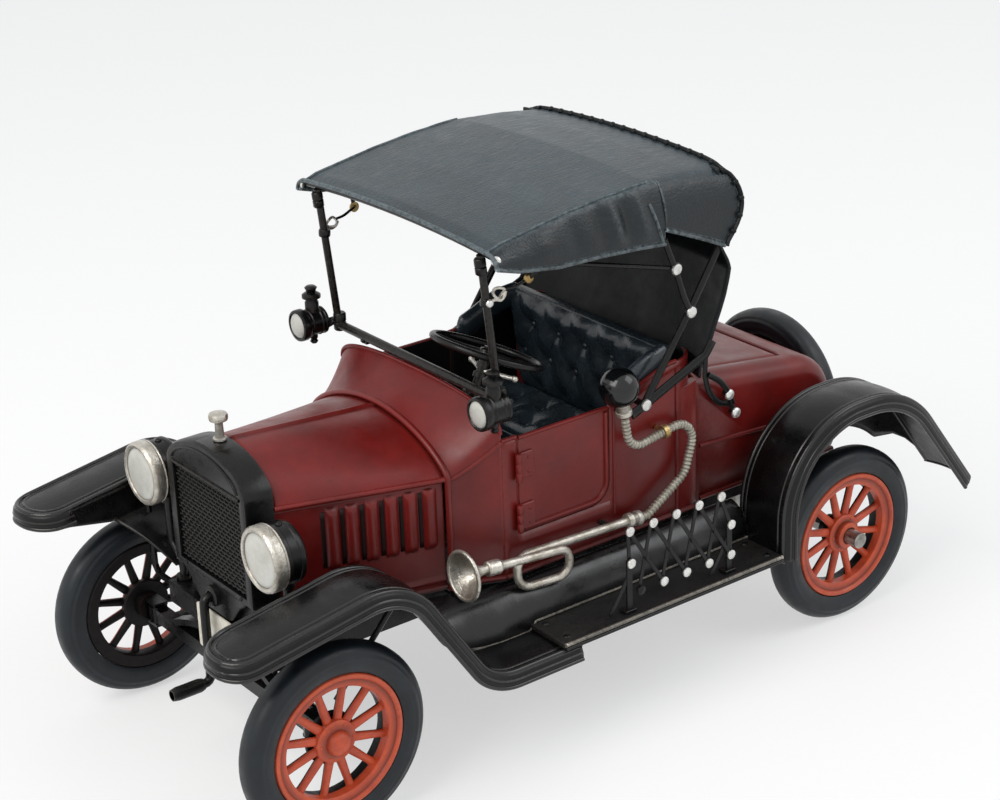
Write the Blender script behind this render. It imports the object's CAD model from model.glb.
"""Tin toy roadster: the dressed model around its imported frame, laid out as an add-on."""
import math

import bmesh
import bpy
import numpy as np
from bpy.props import FloatProperty, FloatVectorProperty, IntProperty, PointerProperty
from mathutils import Matrix, Vector


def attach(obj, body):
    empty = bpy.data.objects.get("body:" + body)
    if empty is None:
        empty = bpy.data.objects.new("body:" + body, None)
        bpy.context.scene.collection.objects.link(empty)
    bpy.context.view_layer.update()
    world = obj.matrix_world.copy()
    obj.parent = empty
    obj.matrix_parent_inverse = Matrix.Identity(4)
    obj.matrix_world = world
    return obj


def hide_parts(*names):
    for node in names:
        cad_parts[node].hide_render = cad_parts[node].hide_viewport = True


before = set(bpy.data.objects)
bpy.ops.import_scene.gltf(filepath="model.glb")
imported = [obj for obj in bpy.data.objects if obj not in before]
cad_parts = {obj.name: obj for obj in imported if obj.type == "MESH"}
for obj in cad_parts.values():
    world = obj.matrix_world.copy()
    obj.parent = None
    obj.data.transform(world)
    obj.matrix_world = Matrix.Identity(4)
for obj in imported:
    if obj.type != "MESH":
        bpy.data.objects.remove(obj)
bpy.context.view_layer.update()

bl_info = {
    "name": "Tin Roadster",
    "version": (1, 0, 0),
    "blender": (4, 5, 0),
    "location": "View3D > Sidebar > Roadster",
    "description": "Builds the painted, beaded and riveted pieces of a tin toy roadster on its frame",
    "category": "Add Mesh",
}

# Sizes below are in millimetres, measured from the middle of the wheelbase; front is -Y, left is +X
MM = 0.001
MID_Y = -7.8
ORIGIN, X, Y, Z = (0, 0, 0), (1, 0, 0), (0, 1, 0), (0, 0, 1)
LEFT_RIGHT = (("left", 1.0), ("right", -1.0))

# Points closer than the first, in metres, become one; edges shorter than the second are dropped
WELD, SLIVER = 0.000004, 0.000001
SHARP = math.radians(40)  # faces that meet at more than this keep a hard edge


def srgb(code):
    """Turn a hex colour into linear light: the power curve above 0.04045, the straight part below it."""
    value = np.array([int(code[i:i + 2], 16) for i in (0, 2, 4)]) / 255
    low = value / 12.92
    high = ((value + 0.055) / 1.055) ** 2.4
    return (*np.where(value <= 0.04045, low, high).tolist(), 1.0)


def vec(*values):
    """Point or direction as an array."""
    return np.array(values, float)


def unit(values):
    """Scale vectors to length one along their last axis."""
    values = np.asarray(values, float)
    return values / np.maximum(np.linalg.norm(values, axis=-1, keepdims=True), 1e-12)


def coords(*parts):
    """Points put together from their coordinates, each spread to the shape that all share."""
    return np.stack(np.broadcast_arrays(*parts), -1)


def square_to(axis):
    """Two unit vectors at right angles to an axis and to each other."""
    axis = unit(axis)
    helper = np.eye(3)[np.argmin(np.abs(axis))]
    first = unit(np.cross(helper, axis))
    return first, np.cross(axis, first)


def grid(rows, close_u=False, close_v=False):
    """Join an array of points into quads; rows run along u and columns along v, and either may close."""
    rows = np.asarray(rows, float)
    n, m = rows.shape[:2]
    a, b = np.meshgrid(np.arange(n if close_u else n - 1), np.arange(m if close_v else m - 1), indexing="ij")
    c, d = (a + 1) % n, (b + 1) % m
    quads = coords(a * m + b, c * m + b, c * m + d, a * m + d).reshape(-1, 4)
    return rows.reshape(-1, 3), quads


def lathe(profile, centre, axis, sides=40, ring=False):
    """Turn a profile (r, h) about an axis: p = centre + r (u cos t + v sin t) + h axis; a ring closes."""
    profile = np.asarray(profile, float)
    axis = unit(axis)
    u, v = square_to(axis)
    t = np.arange(sides) * (2 * np.pi / sides)
    circle = np.cos(t)[:, None] * u + np.sin(t)[:, None] * v
    rows = np.asarray(centre, float) + profile[:, :1, None] * circle[None] + profile[:, 1:, None] * axis
    return grid(rows, close_u=ring, close_v=True)


def tube(path, radius, sides=12, across=None, flat=1.0):
    """Carry a circle along a path: p = c(s) + r(s) (n cos t + flat b sin t), both ends closed to a point."""
    path = np.asarray(path, float)
    ahead = unit(np.gradient(path, axis=0))
    across = square_to(path[-1] - path[0])[0] if across is None else np.asarray(across, float)
    n = unit(across - (ahead @ across)[:, None] * ahead)
    b = np.cross(ahead, n)
    radius = np.broadcast_to(np.asarray(radius, float), len(path))
    hold = np.r_[0, np.arange(len(path)), len(path) - 1]
    r = radius[hold].copy()
    r[0] = r[-1] = 0.0
    t = np.arange(sides) * (2 * np.pi / sides)
    turn = np.cos(t)[None, :, None] * n[hold][:, None] + flat * np.sin(t)[None, :, None] * b[hold][:, None]
    return grid(path[hold][:, None] + r[:, None, None] * turn, close_v=True)


def rod(start, end, radius, sides=12, far=None):
    """Round rod or cone between two points."""
    return tube([start, end], [radius, radius if far is None else far], sides)


def spline(points, count):
    """Smooth curve through points: cubic Hermite pieces over chord length, slopes from the neighbours."""
    points = np.asarray(points, float)
    s = np.r_[0.0, np.cumsum(np.linalg.norm(np.diff(points, axis=0), axis=1))]
    slope = np.gradient(points, s, axis=0)
    want = np.linspace(0.0, s[-1], count)
    i = np.clip(np.searchsorted(s, want, side="right") - 1, 0, len(s) - 2)
    h = (s[i + 1] - s[i])[:, None]
    t = (want - s[i])[:, None] / h
    return ((2 * t**3 - 3 * t**2 + 1) * points[i] + (t**3 - 2 * t**2 + t) * h * slope[i]
            + (3 * t**2 - 2 * t**3) * points[i + 1] + (t**3 - t**2) * h * slope[i + 1])


def even(path, count):
    """The same path with its points spaced evenly by length."""
    path = np.asarray(path, float)
    s = np.r_[0.0, np.cumsum(np.linalg.norm(np.diff(path, axis=0), axis=1))]
    want = np.linspace(0.0, s[-1], count)
    return np.stack([np.interp(want, s, path[:, k]) for k in range(path.shape[1])], 1)


def rounded(points, radii, steps=8):
    """Corners joined by straight lines, each inner corner replaced by an arc of its own radius."""
    points = np.asarray(points, float)
    radii = np.broadcast_to(radii, len(points) - 2)
    parts = [points[:1]]
    for i, radius in enumerate(radii, 1):
        before = unit(points[i - 1] - points[i])
        after = unit(points[i + 1] - points[i])
        half = np.arccos(np.clip(before @ after, -1, 1)) / 2
        reach = radius / np.tan(half)
        middle = points[i] + unit(before + after) * (radius / np.sin(half))
        mix = np.linspace(0, 1, steps + 1)[:, None]
        chord = (points[i] + before * reach - middle) * (1 - mix) + (points[i] + after * reach - middle) * mix
        parts.append(middle + unit(chord) * radius)
    return np.concatenate(parts + [points[-1:]])


def slab(outline, axis, low, high, ease=0.25):
    """Raise a flat outline along an axis; a ring drawn inwards by the ease softens the rim of each face."""
    outline = np.asarray(outline, float)
    along = unit(np.roll(outline, -1, 0) - np.roll(outline, 1, 0))
    out = coords(along[:, 1], -along[:, 0])
    area = np.sum(outline[:, 0] * np.roll(outline[:, 1], -1) - outline[:, 1] * np.roll(outline[:, 0], -1))
    inset = outline - out * np.sign(area) * ease
    middle = np.broadcast_to(outline.mean(0), outline.shape)
    step = np.sign(high - low) * ease
    flat = np.stack([middle, inset, outline, outline, inset, middle])
    level = np.array([low, low, low + step, high - step, high, high])
    level = np.broadcast_to(level[:, None], flat.shape[:2])
    order = {"x": (level, flat[..., 0], flat[..., 1]), "y": (flat[..., 0], level, flat[..., 1]),
             "z": (flat[..., 0], flat[..., 1], level)}[axis]
    return grid(np.stack(order, -1), close_v=True)


def rectangle(a0, b0, a1, b1, radius, steps=4):
    """Rectangle outline with rounded corners: four quarter circles joined by its sides."""
    t = np.linspace(0, np.pi / 2, steps + 1)
    corner = [(a1 - radius, b1 - radius), (a0 + radius, b1 - radius), (a0 + radius, b0 + radius),
              (a1 - radius, b0 + radius)]
    return np.concatenate([coords(a + radius * np.cos(t + k * np.pi / 2),
                                  b + radius * np.sin(t + k * np.pi / 2)) for k, (a, b) in enumerate(corner)])


def dome(centre, axis, radius, height, sides=14):
    """Rivet or nail head: a quarter ellipse turned about its axis, on a flat back."""
    t = np.linspace(0, np.pi / 2, 5)
    profile = coords(radius * np.cos(t), height * np.sin(t))
    return lathe(np.concatenate([[[0.0, -0.3], [radius, -0.3]], profile]), centre, axis, sides)


def ball(centre, radii, sides=16):
    """Ellipsoid: half a circle turned about Z and stretched along each axis."""
    t = np.linspace(0, np.pi, sides // 2 + 1)
    points, quads = lathe(coords(np.sin(t), -np.cos(t)), ORIGIN, Z, sides)
    return points * np.asarray(radii, float) + np.asarray(centre, float), quads


def other_side(shape):
    """The same shape on the car's other side."""
    points, quads = shape
    return points * vec(-1, 1, 1), quads[:, ::-1]


def sided(shapes, sign):
    """Left-hand shapes as they are, or turned to the right-hand side."""
    return shapes if sign > 0 else [(*other_side(entry[:2]), *entry[2:]) for entry in shapes]


# Finish of a shape that names none
SLOT_FINISH = {"maroon_tin": "maroon", "black_tin": "black", "silver_tin": "silver", "slate_tin": "roof",
               "cream_tin": "cream", "tyre_rubber": "tyre", "bulb_rubber": "bulb", "seat_cloth": "leather"}


def piece(name, shapes, slot, replaces=(), body="car_body", wall=None, offset=0.0, inside=None):
    """Join (points, quads, finish) shapes into one object and tie it to the frame.

    Doubles are merged, which closes seams and poles. What has no wall is a closed shell and is pointed
    outwards; a sheet is given its wall. Two values are kept for the paint on each point: edge, where the
    surface falls away from its normal or ends, and hollow, where the surface rises above it."""
    finishes = []
    points, quads, which = [], [], []
    start = 0
    for shape_points, shape_quads, *code in shapes:
        code = code[0] if code else SLOT_FINISH[slot]
        if code not in finishes:
            finishes.append(code)
        points.append(shape_points)
        quads.append(shape_quads + start)
        which.append(np.full(len(shape_quads), finishes.index(code)))
        start += len(shape_points)
    places = (np.concatenate(points) + vec(0, MID_Y, 0)) * MM
    mesh = bpy.data.meshes.new(name)
    mesh.from_pydata(places.tolist(), [], np.concatenate(quads).tolist())
    mesh.polygons.foreach_set("material_index", np.concatenate(which).astype(np.int32))
    bm = bmesh.new()
    bm.from_mesh(mesh)
    bmesh.ops.remove_doubles(bm, verts=bm.verts, dist=WELD)
    bmesh.ops.dissolve_degenerate(bm, edges=bm.edges, dist=SLIVER)
    if not wall:
        bmesh.ops.recalc_face_normals(bm, faces=bm.faces)
    bm.to_mesh(mesh)
    bm.free()
    for code in finishes + ([inside] if inside else []):
        mesh.materials.append(finish(code))
    mesh.shade_smooth()
    mesh.set_sharp_from_angle(angle=SHARP)
    paint_values(mesh)
    ob = bpy.data.objects.new(name, mesh)
    bpy.context.scene.collection.objects.link(ob)
    if wall:
        solid = ob.modifiers.new("sheet", "SOLIDIFY")
        solid.thickness = wall * MM
        solid.offset = offset
        solid.material_offset = len(finishes) if inside else 0
    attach(ob, body)
    if replaces:
        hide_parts(*replaces)
    return ob


def paint_values(mesh):
    """Keep edge and hollow on each point: the mean of normal . unit(neighbour - point), split by its sign."""
    count = len(mesh.vertices)
    place = np.empty(count * 3)
    mesh.vertices.foreach_get("co", place)
    place = place.reshape(-1, 3)
    normal = np.empty(count * 3)
    mesh.vertex_normals.foreach_get("vector", normal)
    normal = normal.reshape(-1, 3)
    ends = np.empty(len(mesh.edges) * 2, np.int32)
    mesh.edges.foreach_get("vertices", ends)
    a, b = ends.reshape(-1, 2).T
    way = unit(place[b] - place[a])
    total = np.bincount(a, np.sum(normal[a] * way, 1), count)
    total = total - np.bincount(b, np.sum(normal[b] * way, 1), count)
    bend = total / np.maximum(np.bincount(a, minlength=count) + np.bincount(b, minlength=count), 1)
    used = np.empty(len(mesh.loops), np.int32)
    mesh.loops.foreach_get("edge_index", used)
    border = np.zeros(count)
    alone = np.bincount(used, minlength=len(mesh.edges)) == 1
    border[ends.reshape(-1, 2)[alone].ravel()] = 1.0
    for label, value in (("edge", np.maximum(-bend * 2.5 - 0.15, border)), ("hollow", bend * 3.5 - 0.1)):
        layer = mesh.attributes.new(label, "FLOAT", "POINT")
        layer.data.foreach_set("value", np.clip(value, 0, 1).astype(np.float32))


def add(tree, kind, inputs=None, **settings):
    """Add one node: settings are its own fields; inputs are values for its sockets or sockets to link."""
    item = tree.nodes.new(kind)
    for key, value in settings.items():
        setattr(item, key, value)
    for key, value in (inputs or {}).items():
        if isinstance(value, bpy.types.NodeSocket):
            tree.links.new(value, item.inputs[key])
        else:
            item.inputs[key].default_value = value
    return item


def mix(tree, factor, first, second):
    """Blend two colours by a factor."""
    item = add(tree, "ShaderNodeMix", {0: factor}, data_type="RGBA")
    for socket, value in ((item.inputs[6], first), (item.inputs[7], second)):
        if isinstance(value, bpy.types.NodeSocket):
            tree.links.new(value, socket)
        else:
            socket.default_value = value
    return item.outputs[2]


def ramp(tree, value, low, high, out_low=0.0, out_high=1.0):
    """Stretch a value from one span to another and hold it at the ends."""
    return add(tree, "ShaderNodeMapRange", {0: value, 1: low, 2: high, 3: out_low, 4: out_high}).outputs[0]


def times(tree, first, second):
    """Product of two values."""
    return add(tree, "ShaderNodeMath", {0: first, 1: second}, operation="MULTIPLY").outputs[0]


def kept(tree, label):
    """Value kept on the points under a label."""
    return add(tree, "ShaderNodeAttribute", attribute_name=label).outputs["Fac"]


def noise(tree, place, size, detail=4.0, stretch=None):
    """Noise whose lumps are about the given size in millimetres, drawn out along an axis on request."""
    if stretch:
        place = add(tree, "ShaderNodeMapping", {"Vector": place, "Scale": stretch}).outputs[0]
    settings = {"Vector": place, "Scale": 1.0 / (size * MM), "Detail": detail, "Roughness": 0.6}
    return add(tree, "ShaderNodeTexNoise", settings).outputs[0]


# What each finish is made of: colours as hex, lump sizes in millimetres
# body, shade and worn are the paint, its darker cloud and its rubbed edge; wash is the dark in its hollows
FINISHES = {
    # Cellulose enamel brushed over tinplate: satin, lightly clouded, dark stain wiped into seams
    "maroon": dict(name="brushed_maroon_enamel_on_tin", body="741713", shade="5c110e", worn="84342e",
                   wash="100505", rough=(0.28, 0.44), cloud=22.0, fleck=1.6, relief=0.08, edge=0.30, stain=0.95,
                   shine=0.36, splash=0.75),
    # Black enamel on tin, glossy: brown-grey where it has rubbed thin
    "black": dict(name="brushed_gloss_black_enamel_on_tin", body="0a0b0c", shade="060607", worn="34302c",
                  wash="030303", rough=(0.20, 0.38), cloud=14.0, fleck=1.4, relief=0.12, edge=0.34, stain=0.5,
                  shine=0.26),
    # Rolled beads of the fenders: black enamel polished by handling
    "bead": dict(name="handled_gloss_black_enamel_bead", body="0b0c0d", shade="060607", worn="403b36",
                 wash="030303", rough=(0.14, 0.26), cloud=9.0, fleck=1.2, relief=0.10, edge=0.30, stain=0.5,
                 shine=0.5),
    # Louvre slits: bare shadowed edge of the tin with old polish packed into it
    "slit": dict(name="wiped_dark_stain_in_pressed_tin", body="1a0807", shade="0c0404", worn="3a1412",
                 wash="050202", rough=(0.45, 0.60), cloud=5.0, fleck=1.0, relief=0.10, edge=0.2, stain=0.5,
                 shine=0.2),
    # Black coat inside the body shell, flat
    "inside": dict(name="sprayed_flat_black_on_tin", body="0e0e0f", shade="070707", worn="211d1b",
                   wash="030303", rough=(0.45, 0.65), cloud=10.0, fleck=1.2, relief=0.10, edge=0.15, stain=0.4,
                   shine=0.2),
    # Black enamel polished on the aprons
    "apron": dict(name="polished_black_enamel_on_tin", body="0c0d0e", shade="070708", worn="35322f",
                  wash="030303", rough=(0.20, 0.34), cloud=18.0, fleck=1.6, relief=0.08, edge=0.30, stain=0.4,
                  shine=0.5),
    # Black enamel with a dusty rubbed film on flat faces
    "board": dict(name="dusted_black_enamel_on_tin", body="19191a", shade="0c0d0e", worn="47433e",
                  wash="060606", rough=(0.34, 0.52), cloud=9.0, fleck=1.1, relief=0.14, edge=0.40, stain=0.5,
                  shine=0.25),
    # Board edge: black enamel rubbed through to the tin in a broken line
    "trim": dict(name="rubbed_through_black_edge_on_tin", body="5d5850", shade="1b1a19", worn="b9b2a6",
                 wash="0a0a0a", rough=(0.30, 0.48), cloud=5.0, fleck=1.0, relief=0.12, edge=0.6, stain=0.5,
                 metal=0.35),
    # Rear curtain: sheet painted a flat blue-black
    "curtain": dict(name="flat_blue_black_paint_on_tin", body="0a0d0f", shade="06080a", worn="262b2e",
                    wash="030404", rough=(0.34, 0.50), cloud=14.0, fleck=1.2, relief=0.12, edge=0.30, stain=0.5,
                    shine=0.2),
    # Orange enamel on pressed wheels: thick, uneven, dirty between the spokes
    "orange": dict(name="brushed_orange_enamel_on_tin", body="c64e2c", shade="a43a20", worn="d87650",
                   wash="1c0a05", rough=(0.36, 0.54), cloud=7.0, fleck=1.2, relief=0.18, edge=0.25, stain=0.95),
    # Inner wheel faces: the same wheel caught by black spray
    "sprayed": dict(name="black_overspray_on_orange_enamel", body="0c0b0b", shade="070707", worn="28120d",
                    wash="040404", rough=(0.40, 0.60), cloud=5.0, fleck=0.9, relief=0.15, edge=0.30, stain=0.6,
                    shine=0.2),
    # Silver paint gone brown in its hollows
    "silver": dict(name="aged_silver_paint_on_tin", body="c9c5bc", shade="8f8779", worn="e6e3dc",
                   wash="2c2018", rough=(0.26, 0.50), cloud=6.0, fleck=0.9, relief=0.48, edge=0.5, stain=0.95,
                   metal=0.78),
    # Coiled metal hose: silver paint yellowed, dirt in the grooves
    "hose": dict(name="yellowed_silver_paint_on_coiled_wire", body="a39e92", shade="7f7a6e", worn="d0ccc0",
                 wash="14100c", rough=(0.32, 0.52), cloud=4.0, fleck=0.8, relief=0.10, edge=0.5, stain=1.0,
                 metal=0.45),
    # Bright zinc-plated nail heads
    "nail": dict(name="bright_zinc_nail_heads", body="e4e4e1", shade="bdbcb7", worn="f2f2f0",
                 wash="4a443c", rough=(0.22, 0.38), cloud=2.4, fleck=0.6, relief=0.06, edge=0.4, stain=0.5,
                 metal=0.7),
    # Drawn steel rod, bright with a faint lengthwise grain
    "steel": dict(name="drawn_steel_rod", body="b4b3b0", shade="77746f", worn="dcdbd8",
                  wash="2a2622", rough=(0.26, 0.44), cloud=5.0, fleck=0.8, relief=0.06, edge=0.3, stain=0.5,
                  metal=0.95),
    # Brass clip, dulled
    "brass": dict(name="dulled_rolled_brass", body="b79a63", shade="7d6238", worn="d9c38f",
                  wash="2e2312", rough=(0.30, 0.48), cloud=3.0, fleck=0.7, relief=0.08, edge=0.4, stain=0.7,
                  metal=0.85),
    # Vulcanised tyre rubber: blue-black, faintly bloomed
    "tyre": dict(name="moulded_blue_black_rubber", body="1a2026", shade="12161a", worn="30373e",
                 wash="0a0c0e", rough=(0.34, 0.50), cloud=10.0, fleck=0.9, relief=0.10, edge=0.2, stain=0.4,
                 shine=0.36),
    # Blown rubber bulb: smooth and glossy
    "bulb": dict(name="dipped_gloss_black_rubber", body="0c0e10", shade="060708", worn="202326",
                 wash="030303", rough=(0.10, 0.20), cloud=8.0, fleck=1.5, relief=0.04, edge=0.2, stain=0.3),
    # Cream enamel on the plate, foxed
    "cream": dict(name="foxed_cream_enamel_on_tin", body="e2ded2", shade="bfb7a4", worn="eee9dc",
                  wash="4a3f30", rough=(0.40, 0.58), cloud=6.0, fleck=1.2, relief=0.10, edge=0.2, stain=0.8),
    # Lamp face: frosted white-silver
    "lens": dict(name="frosted_lamp_face_over_silver", body="cbcbc5", shade="b8b7ae", worn="e2e2dd",
                 wash="6a645a", rough=(0.34, 0.50), cloud=8.0, fleck=1.0, relief=0.16, edge=0.2, stain=0.35,
                 metal=0.15),
    # Woven wire of the radiator face, sprayed black
    "mesh": dict(name="black_sprayed_woven_wire", body="0d0d0d", shade="060606", worn="383532",
                 wash="030303", rough=(0.30, 0.48), cloud=4.0, fleck=0.7, relief=0.08, edge=0.40, stain=0.5,
                 shine=0.25),
}


def finish(code):
    """Fetch a finish, making it on first use."""
    special = {"leather": padded_leather, "roof": roof_leathercloth}
    if code in special:
        return special[code]()
    recipe = FINISHES[code]
    return bpy.data.materials.get(recipe["name"]) or enamel(**recipe)


def start_material(name):
    """New node material with its shader, its tree and the Object coordinates."""
    material = bpy.data.materials.new(name)
    material.use_nodes = True
    tree = material.node_tree
    place = add(tree, "ShaderNodeTexCoord").outputs["Object"]
    return material, tree, tree.nodes["Principled BSDF"], place


def enamel(name, body, shade, worn, wash, rough, cloud, fleck, relief, edge, stain, metal=0.0, shine=0.5,
           splash=0.0):
    """Brushed coat: slow clouds of two tones, fine flecks, rubbed edges, stained hollows, uneven gloss."""
    material, tree, shader, place = start_material(name)
    clouds = noise(tree, place, cloud, 5.0)
    flecks = noise(tree, place, fleck, 3.0)
    tone = ramp(tree, clouds, 0.36, 0.66)
    colour = mix(tree, tone, srgb(body), srgb(shade))
    speck = ramp(tree, flecks, 0.56, 0.74, 0.0, 0.45)
    colour = mix(tree, speck, colour, srgb(shade))
    rub = kept(tree, "edge")
    rub = times(tree, rub, ramp(tree, flecks, 0.36, 0.58, 0.15, edge * 1.6))
    colour = mix(tree, rub, colour, srgb(worn))
    hollow = kept(tree, "hollow")
    hollow = times(tree, hollow, ramp(tree, clouds, 0.30, 0.60, stain, stain * 0.7))
    colour = mix(tree, hollow, colour, srgb(wash))
    spots = ramp(tree, noise(tree, place, cloud * 0.22, 6.0), 0.66, 0.76, 0.0, stain * 0.55)
    colour = mix(tree, spots, colour, srgb(wash))
    if splash:
        height = add(tree, "ShaderNodeSeparateXYZ", {0: place}).outputs[2]
        soil = times(tree, ramp(tree, height, *SOIL_SPAN, splash, 0.0),
                     ramp(tree, clouds, 0.25, 0.60, 1.0, 0.55))
        colour = mix(tree, soil, colour, srgb(wash))
    tree.links.new(colour, shader.inputs["Base Color"])
    gloss = ramp(tree, noise(tree, place, cloud * 0.4, 5.0), 0.32, 0.68, rough[0], rough[1])
    tree.links.new(gloss, shader.inputs["Roughness"])
    shader.inputs["Specular IOR Level"].default_value = shine
    if metal:
        bare = ramp(tree, hollow, 0.0, 1.0, metal, metal * 0.4)
        tree.links.new(bare, shader.inputs["Metallic"])
    bump = add(tree, "ShaderNodeBump", {"Strength": relief, "Distance": 0.0004, "Height": flecks})
    wave = add(tree, "ShaderNodeBump", {"Strength": relief, "Distance": 0.0012, "Height": clouds,
                                        "Normal": bump.outputs[0]})
    tree.links.new(wave.outputs[0], shader.inputs["Normal"])
    return material


def padded_leather():
    """Polished black hide: pebble grain of 0.7 mm cells, dark blue in the gloss, greyer on the crowns."""
    name = "polished_black_hide"
    if name in bpy.data.materials:
        return bpy.data.materials[name]
    material, tree, shader, place = start_material(name)
    cell = add(tree, "ShaderNodeTexVoronoi", {"Vector": place, "Scale": 1.0 / (0.7 * MM)}).outputs["Distance"]
    clouds = noise(tree, place, 9.0, 4.0)
    colour = mix(tree, ramp(tree, clouds, 0.35, 0.65), srgb("1f272d"), srgb("2b343b"))
    hollow = kept(tree, "hollow")
    colour = mix(tree, hollow, colour, srgb("11161a"))
    tree.links.new(colour, shader.inputs["Base Color"])
    tree.links.new(ramp(tree, clouds, 0.3, 0.7, 0.18, 0.30), shader.inputs["Roughness"])
    bump = add(tree, "ShaderNodeBump", {"Strength": 0.25, "Distance": 0.0002, "Height": cell})
    tree.links.new(bump.outputs[0], shader.inputs["Normal"])
    return material


VALANCE_SPAN = (0.0522, 0.0542)  # metres from the middle line over which the roof turns to its dark sides
SOIL_SPAN = (0.056, 0.092)  # heights in metres over which splashed dirt fades out


def roof_leathercloth():
    """Tin painted as leathercloth: slate coat with 0.6 mm grain, silver dragged over it with a dry brush."""
    name = "dry_brushed_slate_paint_on_tin"
    if name in bpy.data.materials:
        return bpy.data.materials[name]
    material, tree, shader, place = start_material(name)
    clouds = noise(tree, place, 26.0, 5.0)
    colour = mix(tree, ramp(tree, clouds, 0.34, 0.66), srgb("26343b"), srgb("1b262b"))
    drag = noise(tree, place, 1.1, 3.0, (1.0, 0.16, 1.0))
    grain = add(tree, "ShaderNodeTexVoronoi", {"Vector": place, "Scale": 1.0 / (0.8 * MM)}).outputs["Distance"]
    lit = times(tree, ramp(tree, drag, 0.50, 0.66, 0.0, 0.55), ramp(tree, grain, 0.20, 0.60, 1.0, 0.15))
    colour = mix(tree, lit, colour, srgb("566a73"))
    width = add(tree, "ShaderNodeSeparateXYZ", {0: place}).outputs[0]
    across = add(tree, "ShaderNodeMath", {0: width}, operation="ABSOLUTE").outputs[0]
    colour = mix(tree, ramp(tree, across, *VALANCE_SPAN, 0.0, 0.85), colour, srgb("0c1215"))
    rub = kept(tree, "edge")
    rub = times(tree, rub, ramp(tree, noise(tree, place, 1.4, 3.0), 0.34, 0.60, 0.10, 1.0))
    colour = mix(tree, rub, colour, srgb("8a979b"))
    hollow = kept(tree, "hollow")
    colour = mix(tree, hollow, colour, srgb("0b0f11"))
    tree.links.new(colour, shader.inputs["Base Color"])
    tree.links.new(ramp(tree, drag, 0.35, 0.65, 0.30, 0.48), shader.inputs["Roughness"])
    shader.inputs["Specular IOR Level"].default_value = 0.42
    bump = add(tree, "ShaderNodeBump", {"Strength": 0.30, "Distance": 0.0003, "Height": grain})
    pull = add(tree, "ShaderNodeBump",
               {"Strength": 0.20, "Distance": 0.0006, "Height": drag, "Normal": bump.outputs[0]})
    tree.links.new(pull.outputs[0], shader.inputs["Normal"])
    return material


class RoadsterSizes(bpy.types.PropertyGroup):
    """Sizes a user would change, in millimetres unless a unit says otherwise."""
    tyre_radius: FloatProperty(name="Tyre radius", description="Outer radius of the tyres, mm", default=33.5,
                               min=30, max=36)
    tyre_width: FloatProperty(name="Tyre width", description="Width of the tyres, mm", default=10.5, min=8,
                              max=12)
    spokes: IntProperty(name="Spokes", description="Spokes in each wheel", default=12, min=6, max=20)
    louvres: IntProperty(name="Louvres", description="Pressed louvres in each hood side", default=6, min=3,
                         max=10)
    wire_pitch: FloatProperty(name="Wire pitch", description="Spacing of the radiator's woven wires, mm",
                              default=1.45, min=1.0, max=4.0)
    tuft_step: FloatProperty(name="Tuft step", description="Spacing of the seat buttons, mm", default=15.0,
                             min=8, max=22)
    tuft_depth: FloatProperty(name="Tuft depth", description="Depth of the seat tufts, mm", default=2.2,
                              min=0.5, max=4)
    hose_pitch: FloatProperty(name="Hose pitch", description="Spacing of the horn hose's ribs, mm", default=1.4,
                              min=1, max=3)
    tack_step: FloatProperty(name="Tack step", description="Spacing of the roof tacks, mm", default=5.4, min=3,
                             max=10)


class RoadsterLight(bpy.types.PropertyGroup):
    """Floor colour and lamp powers of the stage."""
    floor: FloatVectorProperty(name="Floor", description="Colour of the floor", subtype="COLOR", size=4, min=0,
                               max=1, default=srgb("fbfbfa"))
    key: FloatProperty(name="Key light", description="Power of the large lamp, in watts", default=12.0, min=0,
                       unit="POWER")
    fill: FloatProperty(name="Fill light", description="Power of the side lamp, in watts", default=6.0, min=0,
                        unit="POWER")
    sky: FloatProperty(name="Sky", description="Strength of the even light all round", default=0.62, min=0)


FRONT_Y, REAR_Y = -112.5, 112.5
WHEEL_X = 61.5


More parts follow.
